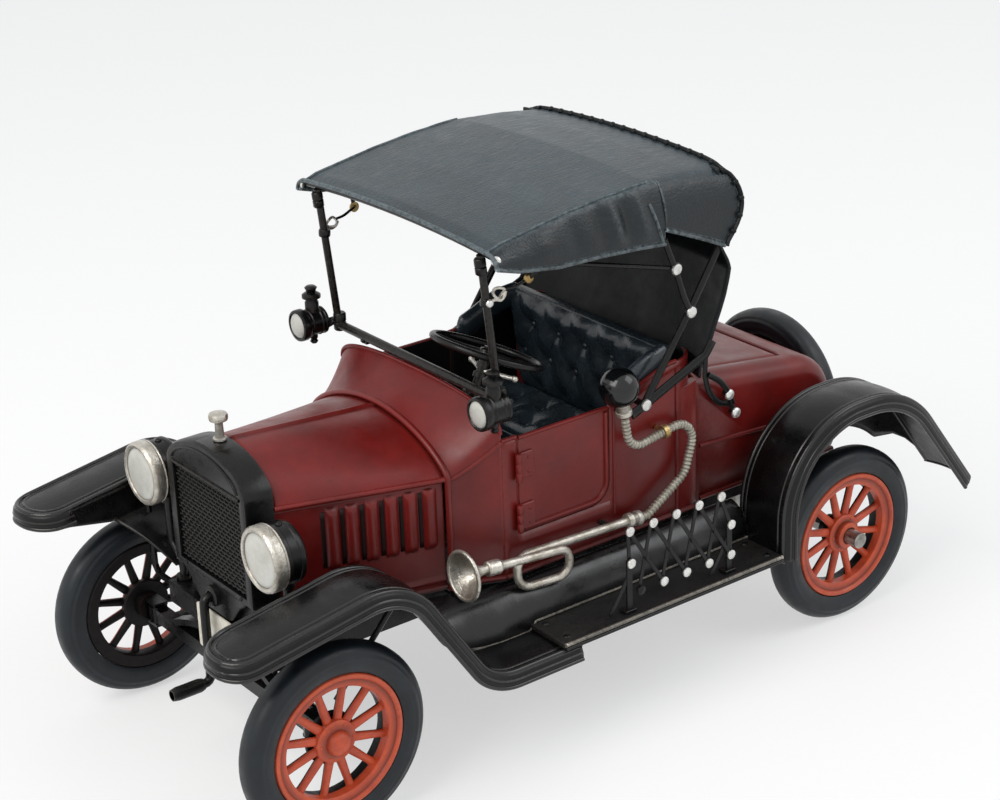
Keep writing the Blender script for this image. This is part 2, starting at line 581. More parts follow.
def wheel_shapes(sizes, rear):
    """Left wheel about its own centre: turned rim and hub, spokes of oval section from hub to rim.

    Each ring is turned in two halves: the outer face takes the bright paint and the inner face the dark."""
    outer_rim = [(24.0, 0), (24.0, 4.0), (23.7, 4.5), (22.7, 4.7), (22.2, 4.3), (21.9, 3.7), (19.9, 3.5),
                 (19.3, 3.0), (19.1, 0)]
    inner_rim = [(19.1, 0), (19.3, -3.4), (19.8, -4.1), (23.5, -4.5), (24.0, -4.1), (24.0, 0)]
    shapes = [(*lathe(outer_rim, ORIGIN, X, 72), "orange"), (*lathe(inner_rim, ORIGIN, X, 72), "sprayed")]
    if rear:
        nave = [(3.3, 0), (3.3, 5.0), (4.3, 5.0), (4.9, 4.5), (5.0, 2.7), (6.9, 2.4), (7.3, 2.0), (7.3, 0)]
        back = [(7.3, 0), (7.3, -2.2), (6.9, -2.6), (4.9, -2.8), (4.7, -6.5), (3.3, -6.5), (3.3, 0)]
    else:
        nave = [(0, 6.0), (1.6, 5.9), (3.2, 5.3), (4.0, 4.2), (4.4, 2.8), (6.9, 2.4), (7.3, 2.0), (7.3, 0)]
        back = [(7.3, 0), (7.3, -1.0), (9.0, -1.2), (9.0, -2.6), (8.5, -3.1), (4.9, -3.3), (4.7, -6.5),
                (2.3, -6.5), (2.3, 3.5), (0, 3.5)]
    shapes += [(*lathe(nave, ORIGIN, X, 36), "orange"), (*lathe(back, ORIGIN, X, 36), "sprayed")]
    r = np.linspace(5.6, 20.0, 9)[:, None]
    width = 1.70 - 0.55 * (r - 5.6) / 14.4 + 0.55 * np.maximum(r - 17.6, 0) / 2.4
    t = np.linspace(0, np.pi, 8)[None]
    for k in range(sizes.spokes):
        turn = 2 * np.pi * (k + 0.5) / sizes.spokes
        out, side = vec(0, np.cos(turn), np.sin(turn)), vec(0, -np.sin(turn), np.cos(turn))
        for half, code in ((1.0, "orange"), (-1.0, "sprayed")):
            across = (np.cos(t) * width)[..., None] * side
            rise = (half * np.sin(t) * np.full_like(r, 1.45))[..., None] * vec(1, 0, 0)
            shapes.append((*grid(r[..., None] * out + across + rise), code))
    for a in 2 * np.pi * np.arange(6) / 6:
        shapes.append((*dome((2.5, 6.0 * np.cos(a), 6.0 * np.sin(a)), X, 0.55, 0.4, 8), "orange"))
    return shapes


def tyre_shape(sizes, centre, axis):
    """Tyre ring: a rounded tread arc, a raised line on each wall and a flat foot on the rim."""
    half = sizes.tyre_width / 2
    t = np.linspace(0, np.pi, 41)
    a = half * np.sign(np.cos(t)) * np.abs(np.cos(t)) ** 0.78
    r = 27.4 + (sizes.tyre_radius - 27.4) * np.sin(t) ** 0.80
    line, groove = 0.22 * np.exp(-((r - 29.4) / 0.35) ** 2), 0.15 * np.exp(-((r - 30.6) / 0.3) ** 2)
    a = a + np.sign(a) * (line - groove)
    foot = [(26.2, -half * 0.96), (24.9, -half * 0.88), (24.3, -half * 0.80), (24.3, half * 0.80),
            (24.9, half * 0.88), (26.2, half * 0.96)]
    return lathe(np.concatenate([coords(r, a), foot]), centre, axis, 84, ring=True)


class ROADSTER_OT_wheels(bpy.types.Operator):
    """Spoked wheels, their tyres and the spare tyre"""
    bl_idname = "roadster.wheels"
    bl_label = "Wheels and tyres"

    def execute(self, context):
        sizes = context.scene.roadster_sizes
        for side, sign in LEFT_RIGHT:
            for end, y in (("front", FRONT_Y), ("rear", REAR_Y)):
                body = "rear_wheel_set" if end == "rear" else f"front_{side}_wheel"
                centre = vec(sign * WHEEL_X, y, sizes.tyre_radius)
                turned = sided(wheel_shapes(sizes, end == "rear"), sign)
                shapes = [(p + centre, q, code) for p, q, code in turned]
                piece(f"{end}_{side}_spoked_wheel", shapes, "orange_tin", [f"{end}_{side}_wheel"], body)
                tyre = tyre_shape(sizes, centre, X)
                piece(f"{end}_{side}_rubber_tyre", [tyre], "tyre_rubber", [f"{end}_{side}_tyre"], body)
        spare = tyre_shape(sizes, (0, 136.2, 64.0), Y)
        piece("spare_rubber_tyre", [spare], "tyre_rubber", ["spare_tyre"])
        return {"FINISHED"}


def arch(half, lip, apex, power, count):
    """Arch from +X over the crown to -X: x = half cos t, z = lip + (apex - lip) sin(t)^(2 power)."""
    t = np.linspace(0, np.pi, count)
    return half * np.cos(t), lip + (apex - lip) * np.maximum(np.sin(t), 0) ** (2 * power)


RAD_FRONT, RAD_DEPTH = -116.5, 10.5


class ROADSTER_OT_radiator(bpy.types.Operator):
    """Radiator shell, woven wire face and filler cap"""
    bl_idname = "roadster.radiator"
    bl_label = "Radiator"

    def execute(self, context):
        pitch = context.scene.roadster_sizes.wire_pitch
        x, z = arch(24.8, 104.0, 115.5, 0.62, 41)
        outer = even(np.concatenate([[(24.8, 65.5)], coords(x, z), [(-24.8, 65.5), (24.8, 65.5)]]), 161)[:-1]
        inner = even(vec(20.9, 68.0, 20.9, 102.4, -20.9, 102.4, -20.9, 68.0, 20.9, 68.0).reshape(-1, 2),
                     161)[:-1]
        back, front = RAD_FRONT + RAD_DEPTH, RAD_FRONT
        rings = [(inner, back), (inner, front + 0.7), (inner * 0.96 + outer * 0.04, front),
                 (inner * 0.3 + outer * 0.7, front - 0.3), (inner * 0.06 + outer * 0.94, front),
                 (outer, front + 0.9), (outer, back - 1.2), (outer * 0.985 + inner * 0.015, back)]
        rows = np.stack([coords(o[:, 0], y, o[:, 1]) for o, y in rings])
        shapes = [grid(rows, close_u=True, close_v=True)]
        x, z = arch(20.6, 105.2, 112.6, 0.62, 33)
        crescent = coords(x, front - 0.3, z)
        shapes.append(tube(crescent, 0.55, 8, Y))
        shapes.append(rod((-21.6, front - 0.2, 103.6), (21.6, front - 0.2, 103.6), 0.6, 8))
        skirt = [(22, 66.5), (-22, 66.5), (-15, 62), (-9.2, 55), (9.2, 55), (15, 62)]
        shapes.append(slab(even(skirt + skirt[:1], 49)[:-1], "y", front, front + 3.1, 0.4))
        foot = rectangle(-20.8, 54.3, 20.8, 66.5, 0.5)
        shapes.append(slab(foot, "y", front + 3.0, back - 1.0, 0.3))
        boss = [(2.0, -2.0), (2.0, 0.6), (3.8, 0.6), (3.8, -1.6), (3.2, -2.0)]
        shapes.append(lathe(boss, (0, front, 61.6), Y, 24, ring=True))
        for bolt_x in (-17.5, 17.5):
            shapes.append(dome((bolt_x, front - 0.1, 66.9), (0, -1, 0), 0.8, 0.6))
        piece("radiator_housing", shapes, "black_tin", ["radiator_shell"])
        wires = [(*slab(rectangle(-20.6, 68.3, 20.6, 102.1, 0.4), "y", front + 2.2, back - 1.0, 0.2), "mesh")]
        along = np.linspace(0, 1, 61)
        for count, span, fixed, upright in ((int(41 / pitch), 41.0, (68.2, 102.2), True),
                                            (int(33.8 / pitch), 33.8, (-20.7, 20.7), False)):
            for k in range(count):
                offset = (k + 0.5) * span / count
                line = fixed[0] + (fixed[1] - fixed[0]) * along
                lift = 0.16 * (-1) ** k * (1 if upright else -1) * np.cos(np.pi * (line - fixed[0]) / pitch)
                y = front + (1.55 if upright else 1.25) + lift
                if upright:
                    path = coords(offset - 20.5, y, line)
                else:
                    path = coords(line, y, 68.3 + offset)
                wires.append((*tube(path, 0.30 if upright else 0.32, 6, X if upright else Z), "mesh"))
        piece("radiator_wire_face", wires, "black_tin", ["radiator_core"])
        cap = [(0, 0), (2.3, 0), (2.3, 0.6), (1.5, 1.0), (1.35, 5.6), (1.8, 6.4), (3.0, 6.8), (3.2, 7.4),
               (3.2, 8.4), (2.9, 9.0), (1.6, 9.5), (0, 9.9)]
        piece("radiator_filler_cap", [lathe(cap, (0, -109.5, 115.8), Z, 28)], "silver_tin",
              ["radiator_cap"])
        return {"FINISHED"}


LAMP_X, LAMP_Y, STEM_X, STEM_FOOT = 37.6, -110.8, 30.8, 54.3
LANTERN = (53.3, -45.5, 123.0)


class ROADSTER_OT_lamps(bpy.types.Operator):
    """Headlamps with silver rims, and lantern lamps beside the windscreen"""
    bl_idname = "roadster.lamps"
    bl_label = "Lamps"

    def execute(self, context):
        for side, sign, z in (("left", 1.0, 89.9), ("right", -1.0, 93.5)):
            x, y, back = sign * LAMP_X, LAMP_Y, vec(0, 1, 0)
            centre = vec(x, y, z) - 9.6 * back
            rim = [(9.0, 0.5), (9.4, -0.1), (10.2, -0.3), (10.9, 0.2), (11.2, 1.0), (11.2, 3.4), (10.9, 4.0),
                   (11.1, 4.4), (10.8, 4.8), (0, 4.8)]
            lens = [(0, -0.4), (3.0, -0.37), (6.0, -0.2), (8.0, 0.1), (9.0, 0.5)]
            shapes = [lathe(rim, centre, back, 56), (*lathe(lens, centre, back, 56), "lens")]
            piece(f"{side}_headlamp_bezel", shapes, "silver_tin", [f"{side}_headlamp_rim"])
            drum = [(0, 0), (10.4, 0), (10.4, 1.2), (10.1, 1.5), (10.1, 4.4), (10.4, 4.7), (10.4, 5.8),
                    (10.0, 6.5), (8.8, 7.3), (6.4, 7.8), (3.0, 8.0), (0, 8.0)]
            start = centre + 5.1 * back
            stem = rounded([(x, y, z - 9.6), (x, y, 66.0), (sign * STEM_X, y, 59.0),
                            (sign * STEM_X, y, STEM_FOOT)], (4.0, 4.0))
            shapes = [lathe(drum, start, back, 48), tube(stem, 1.6, 12, Y),
                      lathe([(0, 0), (2.6, 0), (2.6, 1.6), (2.0, 2.6), (0, 2.6)], (x, y, z - 12.6), Z, 16),
                      dome((x, y - 1.5, z + 10.1), Z, 1.2, 0.9),
                      lathe([(0, 0), (3.0, 0), (3.0, 0.9), (0, 0.9)], (sign * STEM_X, y, STEM_FOOT), Z, 16)]
            piece(f"{side}_headlamp_drum", shapes, "black_tin", [f"{side}_headlamp_shell"])
        for side, sign in LEFT_RIGHT:
            x, y, z = LANTERN
            lens = [(0, -0.9), (2.2, -0.7), (3.9, -0.1), (4.5, 0.4)]
            case = [(4.5, 0.4), (4.9, -0.1), (5.6, 0.1), (5.8, 0.7), (5.8, 2.6), (5.4, 3.2), (4.7, 3.6),
                    (4.7, 9.6), (5.0, 9.9), (5.0, 10.6), (4.2, 11.2), (2.4, 12.0), (0, 12.1)]
            stack = [(0, -0.5), (2.5, -0.5), (2.5, 3.2), (2.2, 3.6), (2.2, 4.4), (3.4, 4.9), (3.4, 6.0),
                     (2.6, 6.6), (1.7, 7.0), (1.9, 7.8), (2.3, 8.6), (1.6, 9.2), (0, 9.3)]
            knob = [(0, -2.4), (1.0, -2.2), (1.5, -1.5), (1.1, -0.7), (1.5, 0.0), (1.5, 1.6), (0, 1.6)]
            middle = y + 6.8
            shapes = [(*lathe(lens, (x, y, z), Y, 32), "lens"), lathe(case, (x, y, z), Y, 32),
                      lathe(stack, (x, middle, z + 4.4), Z, 24), lathe(knob, (x, middle, z - 5.8), Z, 18),
                      tube(spline([(x - 1, y + 9.5, z - 2), (x - 2.6, -34.0, z - 1.5), (49.8, -32.2, 122.6)],
                                  12), 1.1, 10)]
            for rib in (y + 4.6, y + 8.4):
                ring = [(4.7, -0.35), (5.05, 0.0), (4.7, 0.35), (4.5, 0.0)]
                shapes.append(lathe(ring, (x, rib, z), Y, 32, ring=True))
            piece(f"{side}_lantern_lamp", sided(shapes, sign), "black_tin", [f"{side}_cowl_lamp"])
        return {"FINISHED"}


HOOD_FRONT, HOOD_REAR = RAD_FRONT + RAD_DEPTH + 0.3, -49.7
BODY_LOW, SILL_Z = 56.3, 57.3
LOUVRE_LOW, LOUVRE_HIGH, LOUVRE_HALF = 73.0, 94.0, 2.1


def hood_span(t):
    """Half width, lip height and crown height of the hood, straight lines from radiator to cowl."""
    return 24.3 + 14.9 * t, 98.5 - 1.5 * t, 115.0 - 4.0 * t


class ROADSTER_OT_hood(bpy.types.Operator):
    """Hood top with its centre bead and rolled lips, and the louvred sides"""
    bl_idname = "roadster.hood"
    bl_label = "Hood"

    def execute(self, context):
        count = context.scene.roadster_sizes.louvres
        t = np.linspace(0, 1, 29)
        half, lip, apex = hood_span(t)
        s = np.linspace(0, np.pi, 81)
        x = half[:, None] * np.cos(s)
        z = lip[:, None] + (apex - lip)[:, None] * np.sin(s) ** 1.5
        z = z + 0.9 * np.exp(-(x / 0.8) ** 2)
        y = np.broadcast_to((HOOD_FRONT + (HOOD_REAR - HOOD_FRONT) * t)[:, None], x.shape)
        piece("hood_bonnet", [grid(coords(x, y, z))], "maroon_tin", ["hood_top"],
              wall=1.0, offset=-1.0)
        lips = []
        for sign in (1, -1):
            path = coords(sign * (half + 0.1), y[:, 0], lip - 0.3)
            lips.append(tube(path, 0.95, 10, Z))
        piece("hood_rolled_lips", lips, "maroon_tin")
        for side, sign in LEFT_RIGHT:
            u = np.linspace(0, 1, 181)[:, None]
            v = np.linspace(0, 1, 57)[None]
            half, lip, _ = hood_span(u)
            y = HOOD_FRONT + (HOOD_REAR - HOOD_FRONT) * u + 0 * v
            z = BODY_LOW + (lip - 1.6 - BODY_LOW) * v
            mid = -87.0 + 32.5 * np.arange(count) / (count - 1)
            dy = y[..., None] - mid
            ends = np.clip((z - LOUVRE_LOW) / 2.4, 0, 1) * np.clip((LOUVRE_HIGH - z) / 2.4, 0, 1)
            ends = np.sqrt(np.clip(1 - (1 - ends) ** 2, 0, 1))
            ridge = np.sqrt(np.clip(1 - (dy / LOUVRE_HALF) ** 2, 0, 1)) * (0.72 - 0.28 * dy / LOUVRE_HALF)
            rib = 2.1 * ridge.max(-1) * ends
            frame_line = 0.5 * np.exp(-((z - 60.0) / 0.7) ** 2)
            x = half - 1.2 + rib + frame_line
            panel = grid(coords(x, y, z))
            bead = coords(half[:, 0] - 0.9, y[:, 0], 57.2)[::6]
            shapes = [panel, tube(bead, 0.8, 8, Z)]
            piece(f"{side}_louvred_hood_side", sided(shapes, sign), "maroon_tin", [f"{side}_hood_side"],
                  wall=0.8)
            slits = []
            for front in mid - 3.9:
                slot_y = front + 2.2 * np.linspace(0, 1, 4)[:, None]
                slot_z = np.linspace(73.4, 93.4, 9)[None]
                span, _, _ = hood_span((slot_y - HOOD_FRONT) / (HOOD_REAR - HOOD_FRONT))
                slits.append((*grid(coords(span - 0.72, slot_y, slot_z)), "slit"))
            piece(f"{side}_louvre_slits", sided(slits, sign), "maroon_tin", wall=0.06)
        return {"FINISHED"}


COWL_FRONT, COWL_REAR = HOOD_REAR + 0.3, -31.25


class ROADSTER_OT_cowl(bpy.types.Operator):
    """Cowl that flares from the hood to the windscreen, with its arch bead and sill moulding"""
    bl_idname = "roadster.cowl"
    bl_label = "Cowl"

    def execute(self, context):
        t = np.linspace(0, 1, 25)[:, None]
        half = 39.8 + 6.7 * t ** 1.3
        lip = 97.0 + 11.0 * t ** 1.5
        apex = 111.6 + 7.6 * t ** 1.5
        power = 0.75 - 0.49 * t
        s = np.linspace(0, np.pi, 91)[None]
        x = half * np.cos(s)
        z = lip + (apex - lip) * np.maximum(np.sin(s), 0) ** (2 * power)
        low = np.linspace(0, 1, 12)[None, :-1]
        wall_z = BODY_LOW + (lip - BODY_LOW) * low
        x = np.concatenate([half + 0 * low, x, -half + 0 * low], 1)
        z = np.concatenate([wall_z, z, wall_z[:, ::-1]], 1)
        y = COWL_FRONT + (COWL_REAR - COWL_FRONT) * t + 0 * x
        skin = coords(x, y, z)
        piece("flared_cowl", [grid(skin)], "maroon_tin", ["cowl"], wall=1.0, offset=-1.0,
              inside="inside")
        joint = skin[0] + vec(0, 0.6, 0) + unit(skin[0] - vec(0, skin[0, 0, 1], 80)) * 0.3
        trims = [tube(joint, 1.15, 10, Y)]
        rear = skin[-1, 12:-12] + vec(0, -0.3, 0)
        trims.append(tube(rear, 0.7, 8, Y))
        for sign in (1, -1):
            sill = coords(sign * (half[:, 0] + 0.1), y[:, 0], 57.4)
            trims.append(tube(sill, 0.9, 8, Z))
            line = coords(sign * (half[:, 0] + 0.1), y[:, 0], lip[:, 0] - 1.0)
            trims.append(tube(line, 0.7, 8, Z))
        piece("cowl_beads", trims, "maroon_tin")
        return {"FINISHED"}


BODY_HALF, BODY_FRONT, BODY_REAR, BODY_CORNER = 46.5, -31.2, 57.2, 12.0
DOOR_GAP = 0.3
DOOR_FRONT, DOOR_REAR, DOOR_LOW, DOOR_TOP, DOOR_CORNER = -24.5, 14.5, 71.8, 106.5, 8.0


def tub_top(y):
    """Height of the body's rim: level past the doors, then an easy rise (3e^2 - 2e^3) to the back."""
    e = np.clip((y - 15) / 30, 0, 1)
    return 107.0 + 8.0 * e * e * (3 - 2 * e)


class ROADSTER_OT_body(bpy.types.Operator):
    """Body sides with door openings, beads and the two hinged doors"""
    bl_idname = "roadster.body"
    bl_label = "Body and doors"

    def execute(self, context):
        bend_start = BODY_REAR - BODY_CORNER
        flank = np.unique(np.r_[np.linspace(BODY_FRONT, bend_start, 31), DOOR_FRONT - DOOR_GAP,
                                DOOR_REAR + DOOR_GAP])
        a = np.linspace(0, np.pi / 2, 13)[1:]
        bend_x = BODY_HALF - BODY_CORNER + BODY_CORNER * np.cos(a)
        bend_y = bend_start + BODY_CORNER * np.sin(a)
        half = np.concatenate([coords(BODY_HALF, flank), coords(bend_x, bend_y)])
        back = np.linspace(half[-1, 0], 0, 9)[1:]
        half = np.concatenate([half, coords(back, BODY_REAR)])
        plan = np.concatenate([half, half[-2::-1] * vec(-1, 1)])
        low = np.linspace(BODY_LOW, DOOR_LOW - DOOR_GAP, 5)[:, None]
        high = np.linspace(0, 1, 11)[1:, None]
        top = tub_top(plan[:, 1])[None]
        z = np.concatenate([low + 0 * top, DOOR_LOW - DOOR_GAP + (top - DOOR_LOW + DOOR_GAP) * high])
        x = np.broadcast_to(plan[:, 0], z.shape)
        y = np.broadcast_to(plan[:, 1], z.shape)
        points, quads = grid(coords(x, y, z))
        middle = points[quads].mean(1)
        door = (middle[:, 1] > DOOR_FRONT - DOOR_GAP) & (middle[:, 1] < DOOR_REAR + DOOR_GAP)
        door = door & (middle[:, 2] > DOOR_LOW - DOOR_GAP)
        shapes = [(points, quads[~door][:, ::-1], "maroon")]
        bend = np.linspace(-np.pi / 2, 0, 13)
        reach = DOOR_CORNER + DOOR_GAP
        arc = coords(DOOR_REAR - DOOR_CORNER + reach * np.cos(bend),
                     DOOR_LOW + DOOR_CORNER + reach * np.sin(bend))
        corner = np.broadcast_to(vec(DOOR_REAR + DOOR_GAP, DOOR_LOW - DOOR_GAP), arc.shape)
        for sign in (1, -1):
            rows = np.stack([arc, corner] if sign > 0 else [corner, arc])
            rows = np.concatenate([np.full((*rows.shape[:2], 1), sign * BODY_HALF), rows], -1)
            shapes.append(grid(rows))
        piece("body_sides", shapes, "maroon_tin", ["body_tub"], wall=1.2, offset=-1.0, inside="inside")
        beads = []
        for sign in (1, -1):
            sill = np.linspace((sign * (BODY_HALF + 0.1), BODY_FRONT, SILL_Z),
                               (sign * (BODY_HALF + 0.1), 57.0, SILL_Z), 12)
            beads.append(tube(sill, 0.9, 8, Z))
            post = np.linspace((sign * (BODY_HALF + 0.05), DOOR_REAR + 2.0, 66.0),
                               (sign * (BODY_HALF + 0.05), DOOR_REAR + 2.0, 106.4), 8)
            beads.append(tube(post, 0.55, 8, Y))
            seam = np.linspace((sign * (BODY_HALF + 0.05), bend_start, 58.0),
                               (sign * (BODY_HALF + 0.05), bend_start, 113.0), 8)
            beads.append(tube(seam, 0.6, 8, Y))
            y = np.linspace(DOOR_REAR + 0.5, bend_start, 14)
            edge = coords(sign * (BODY_HALF - 0.4), y, tub_top(y) + 0.1)
            beads.append(tube(edge, 0.8, 8, X))
            edge = np.linspace((sign * (BODY_HALF - 0.4), BODY_FRONT, 107.1),
                               (sign * (BODY_HALF - 0.4), DOOR_FRONT - 0.5, 107.1), 6)
            beads.append(tube(edge, 0.8, 8, X))
            corner = [(46.4, 45.6), (46.1, 49.0), (45.3, 53.0), (44.3, 56.0), (43.4, 57.3), (41.0, 57.3),
                      (41.0, 50.0), (45.0, 45.6)]
            beads += sided([slab(np.array(corner), "z", 56.8, 104.3, 0.2)], sign)
        piece("body_beads", beads, "maroon_tin")
        for side, sign in LEFT_RIGHT:
            corner = rounded([(DOOR_FRONT, DOOR_TOP), (DOOR_FRONT, DOOR_LOW), (DOOR_REAR, DOOR_LOW),
                              (DOOR_REAR, DOOR_TOP)], (1.0, DOOR_CORNER))
            outline = even(np.concatenate([corner, corner[:1]]), 121)[:-1]
            shapes = [slab(outline, "x", BODY_HALF - 1.2, BODY_HALF + 0.05, 0.3),
                      (*slab(outline, "x", BODY_HALF - 1.3, BODY_HALF - 1.1, 0.05), "inside")]
            out = BODY_HALF + 0.15
            bead = rounded([(out, DOOR_FRONT + 1.6, DOOR_LOW + 1.6), (out, DOOR_REAR - 1.5, DOOR_LOW + 1.5),
                            (out, DOOR_REAR - 1.5, DOOR_TOP - 1.2)], (6.5,))
            shapes.append(tube(even(bead, 40), 0.85, 8, X))
            lip = np.linspace((BODY_HALF - 0.4, DOOR_FRONT + 0.4, DOOR_TOP - 0.1),
                              (BODY_HALF - 0.4, DOOR_REAR - 0.4, DOOR_TOP - 0.1), 8)
            shapes.append(tube(lip, 0.8, 8, X))
            for z in (DOOR_LOW + 6.0, DOOR_TOP - 10.0):
                leaf = rectangle(DOOR_FRONT + 0.4, z - 4.6, DOOR_FRONT + 6.0, z + 4.6, 0.7)
                shapes.append(slab(leaf, "x", BODY_HALF - 0.3, BODY_HALF + 0.9, 0.25))
                shapes.append(slab(rectangle(DOOR_FRONT - 1.5, z - 4.2, DOOR_FRONT + 1.2, z + 4.2, 0.4), "x",
                                   BODY_HALF + 0.6, 48.0, 0.2))
                barrel = np.array([(0, -5), (0.9, -5), (1.1, -4.7), (1.1, -1.9), (0.95, -1.7), (0.95, -1.6),
                                   (1.1, -1.4), (1.1, 1.4), (0.95, 1.6), (0.95, 1.7), (1.1, 1.9), (1.1, 4.7),
                                   (0.9, 5), (0, 5)])
                shapes.append(lathe(barrel, (48.1, DOOR_FRONT - 1.0, z), Z, 18))
                for rivet in (-2.6, 2.6):
                    shapes.append(dome((BODY_HALF + 0.8, DOOR_FRONT + 3.8, z + rivet), X, 0.7, 0.45, 10))
            piece(f"{side}_hinged_door", sided(shapes, sign), "maroon_tin", [f"{side}_door"], f"{side}_door")
        return {"FINISHED"}


DECK_FRONT, DECK_REAR, DECK_HALF = 57.5, 127.0, 43.0
DECK_TOP_FRONT, DECK_TOP_REAR = 104.5, 97.5
DECK_BEND_Y, DECK_BEND_Z, DECK_EDGE = 108.0, 79.0, 6.5
DECK_SLOPE = (DECK_TOP_REAR - DECK_TOP_FRONT) / (DECK_BEND_Y - DECK_FRONT)
LID_HALF, LID_FRONT, LID_REAR, LID_GAP = 35.0, 65.0, 106.0, 0.35


def deck_line(count):
    """Deck seen from the side: a sloping straight top, a quarter ellipse over the end and a straight fall."""
    t = np.linspace(0, np.pi / 2, 25)[1:]
    fall_y, fall_z = DECK_REAR - DECK_BEND_Y, DECK_TOP_REAR - DECK_BEND_Z
    bend = coords(DECK_BEND_Y + fall_y * np.sin(t), DECK_BEND_Z + fall_z * np.cos(t))
    marks = np.unique(np.r_[np.linspace(DECK_FRONT, DECK_BEND_Y, count), LID_FRONT, LID_REAR])
    top = coords(marks, DECK_TOP_FRONT + DECK_SLOPE * (marks - DECK_FRONT))
    fall = np.linspace((DECK_REAR, DECK_BEND_Z), (DECK_REAR, BODY_LOW), 7)[1:]
    return np.concatenate([top, bend, fall])


class ROADSTER_OT_deck(bpy.types.Operator):
    """Rounded rear deck, its lid and its side moulding"""
    bl_idname = "roadster.deck"
    bl_label = "Rear deck"

    def execute(self, context):
        line = deck_line(19)
        ahead = unit(np.gradient(line, axis=0))
        normal = coords(-ahead[:, 1], ahead[:, 0])
        normal = normal * np.where(normal[:, 1:] + normal[:, :1] < 0, -1, 1)
        a = np.linspace(np.pi / 2, 0, 9)
        flat = np.unique(np.r_[np.linspace(-DECK_HALF + DECK_EDGE, DECK_HALF - DECK_EDGE, 15), -LID_HALF,
                               LID_HALF])
        x = np.concatenate([-(DECK_HALF - DECK_EDGE + DECK_EDGE * np.sin(a))[:-1], flat,
                            (DECK_HALF - DECK_EDGE + DECK_EDGE * np.sin(a[::-1]))[1:]])
        drop = np.concatenate([DECK_EDGE * (1 - np.cos(a))[:-1], 0 * flat,
                               DECK_EDGE * (1 - np.cos(a[::-1]))[1:]])
        place = line[:, None] - normal[:, None] * drop[None, :, None]
        rows = coords(x, place[..., 0], place[..., 1])
        points, quads = grid(rows[:, ::-1])
        middle = points[quads].mean(1)
        along = (middle[:, 1] > LID_FRONT) & (middle[:, 1] < LID_REAR)
        hole = along & (np.abs(middle[:, 0]) < LID_HALF) & (middle[:, 2] > 90)
        shapes = [(points, quads[~hole], "maroon")]
        for sign in (1, -1):
            rim = line - normal * DECK_EDGE
            rim = np.concatenate([rim, [[DECK_FRONT, BODY_LOW], rim[0]]])
            ring = coords(sign * DECK_HALF, rim[:, 0], rim[:, 1])
            hub = np.broadcast_to(vec(sign * DECK_HALF, 86.0, 74.0), ring.shape)
            fan = np.stack([ring, hub] if sign > 0 else [hub, ring])
            shapes.append(grid(fan))
        piece("rounded_deck", shapes, "maroon_tin", ["rear_deck"], wall=1.2, offset=-1.0)
        u = np.linspace(-LID_HALF + LID_GAP, LID_HALF - LID_GAP, 33)[None]
        y = np.linspace(LID_FRONT + LID_GAP, LID_REAR - LID_GAP, 25)[:, None]
        side = np.clip((LID_HALF - LID_GAP - np.abs(u)) / 1.2, 0, 1)
        side = side * np.clip((y - LID_FRONT - LID_GAP) / 1.2, 0, 1)
        side = side * np.clip((LID_REAR - LID_GAP - y) / 1.2, 0, 1)
        z = DECK_TOP_FRONT + DECK_SLOPE * (y - DECK_FRONT) - 0.45 * (1 - side) ** 2 + 0 * u
        lid = coords(u, y, z)[:, ::-1]
        shapes = [grid(lid)]
        for hinge_x in (-22.0, 22.0):
            strap = rectangle(hinge_x - 2.2, LID_FRONT + 0.6, hinge_x + 2.2, LID_FRONT + 7.0, 0.8)
            height = DECK_TOP_FRONT + DECK_SLOPE * (LID_FRONT + 4 - DECK_FRONT)
            shapes.append(slab(strap, "z", height - 0.6, height + 0.5, 0.2))
        piece("deck_lid_panel", shapes, "maroon_tin", ["deck_lid"], "deck_lid", wall=1.0, offset=-1.0)
        trims = []
        for sign in (1, -1):
            side_line = np.linspace((sign * (DECK_HALF + 0.15), 59.0, 78.0),
                                    (sign * (DECK_HALF + 0.15), 124.0, 73.6), 14)
            trims.append(tube(side_line, 0.8, 8, Z))
            sill = np.linspace((sign * (DECK_HALF + 0.1), 59.0, SILL_Z),
                               (sign * (DECK_HALF + 0.1), 126.0, SILL_Z), 8)
            trims.append(tube(sill, 0.9, 8, Z))
        front = rows[0] + vec(0, 1.0, 0.1)
        trims.append(tube(front, 0.8, 8, Y))
        piece("deck_mouldings", trims, "maroon_tin")
        return {"FINISHED"}


TUFT_ROW, PAD_RIM, PAD_PULL, BUTTON_MARGIN = 13.0, 5.0, 0.99, 4.0


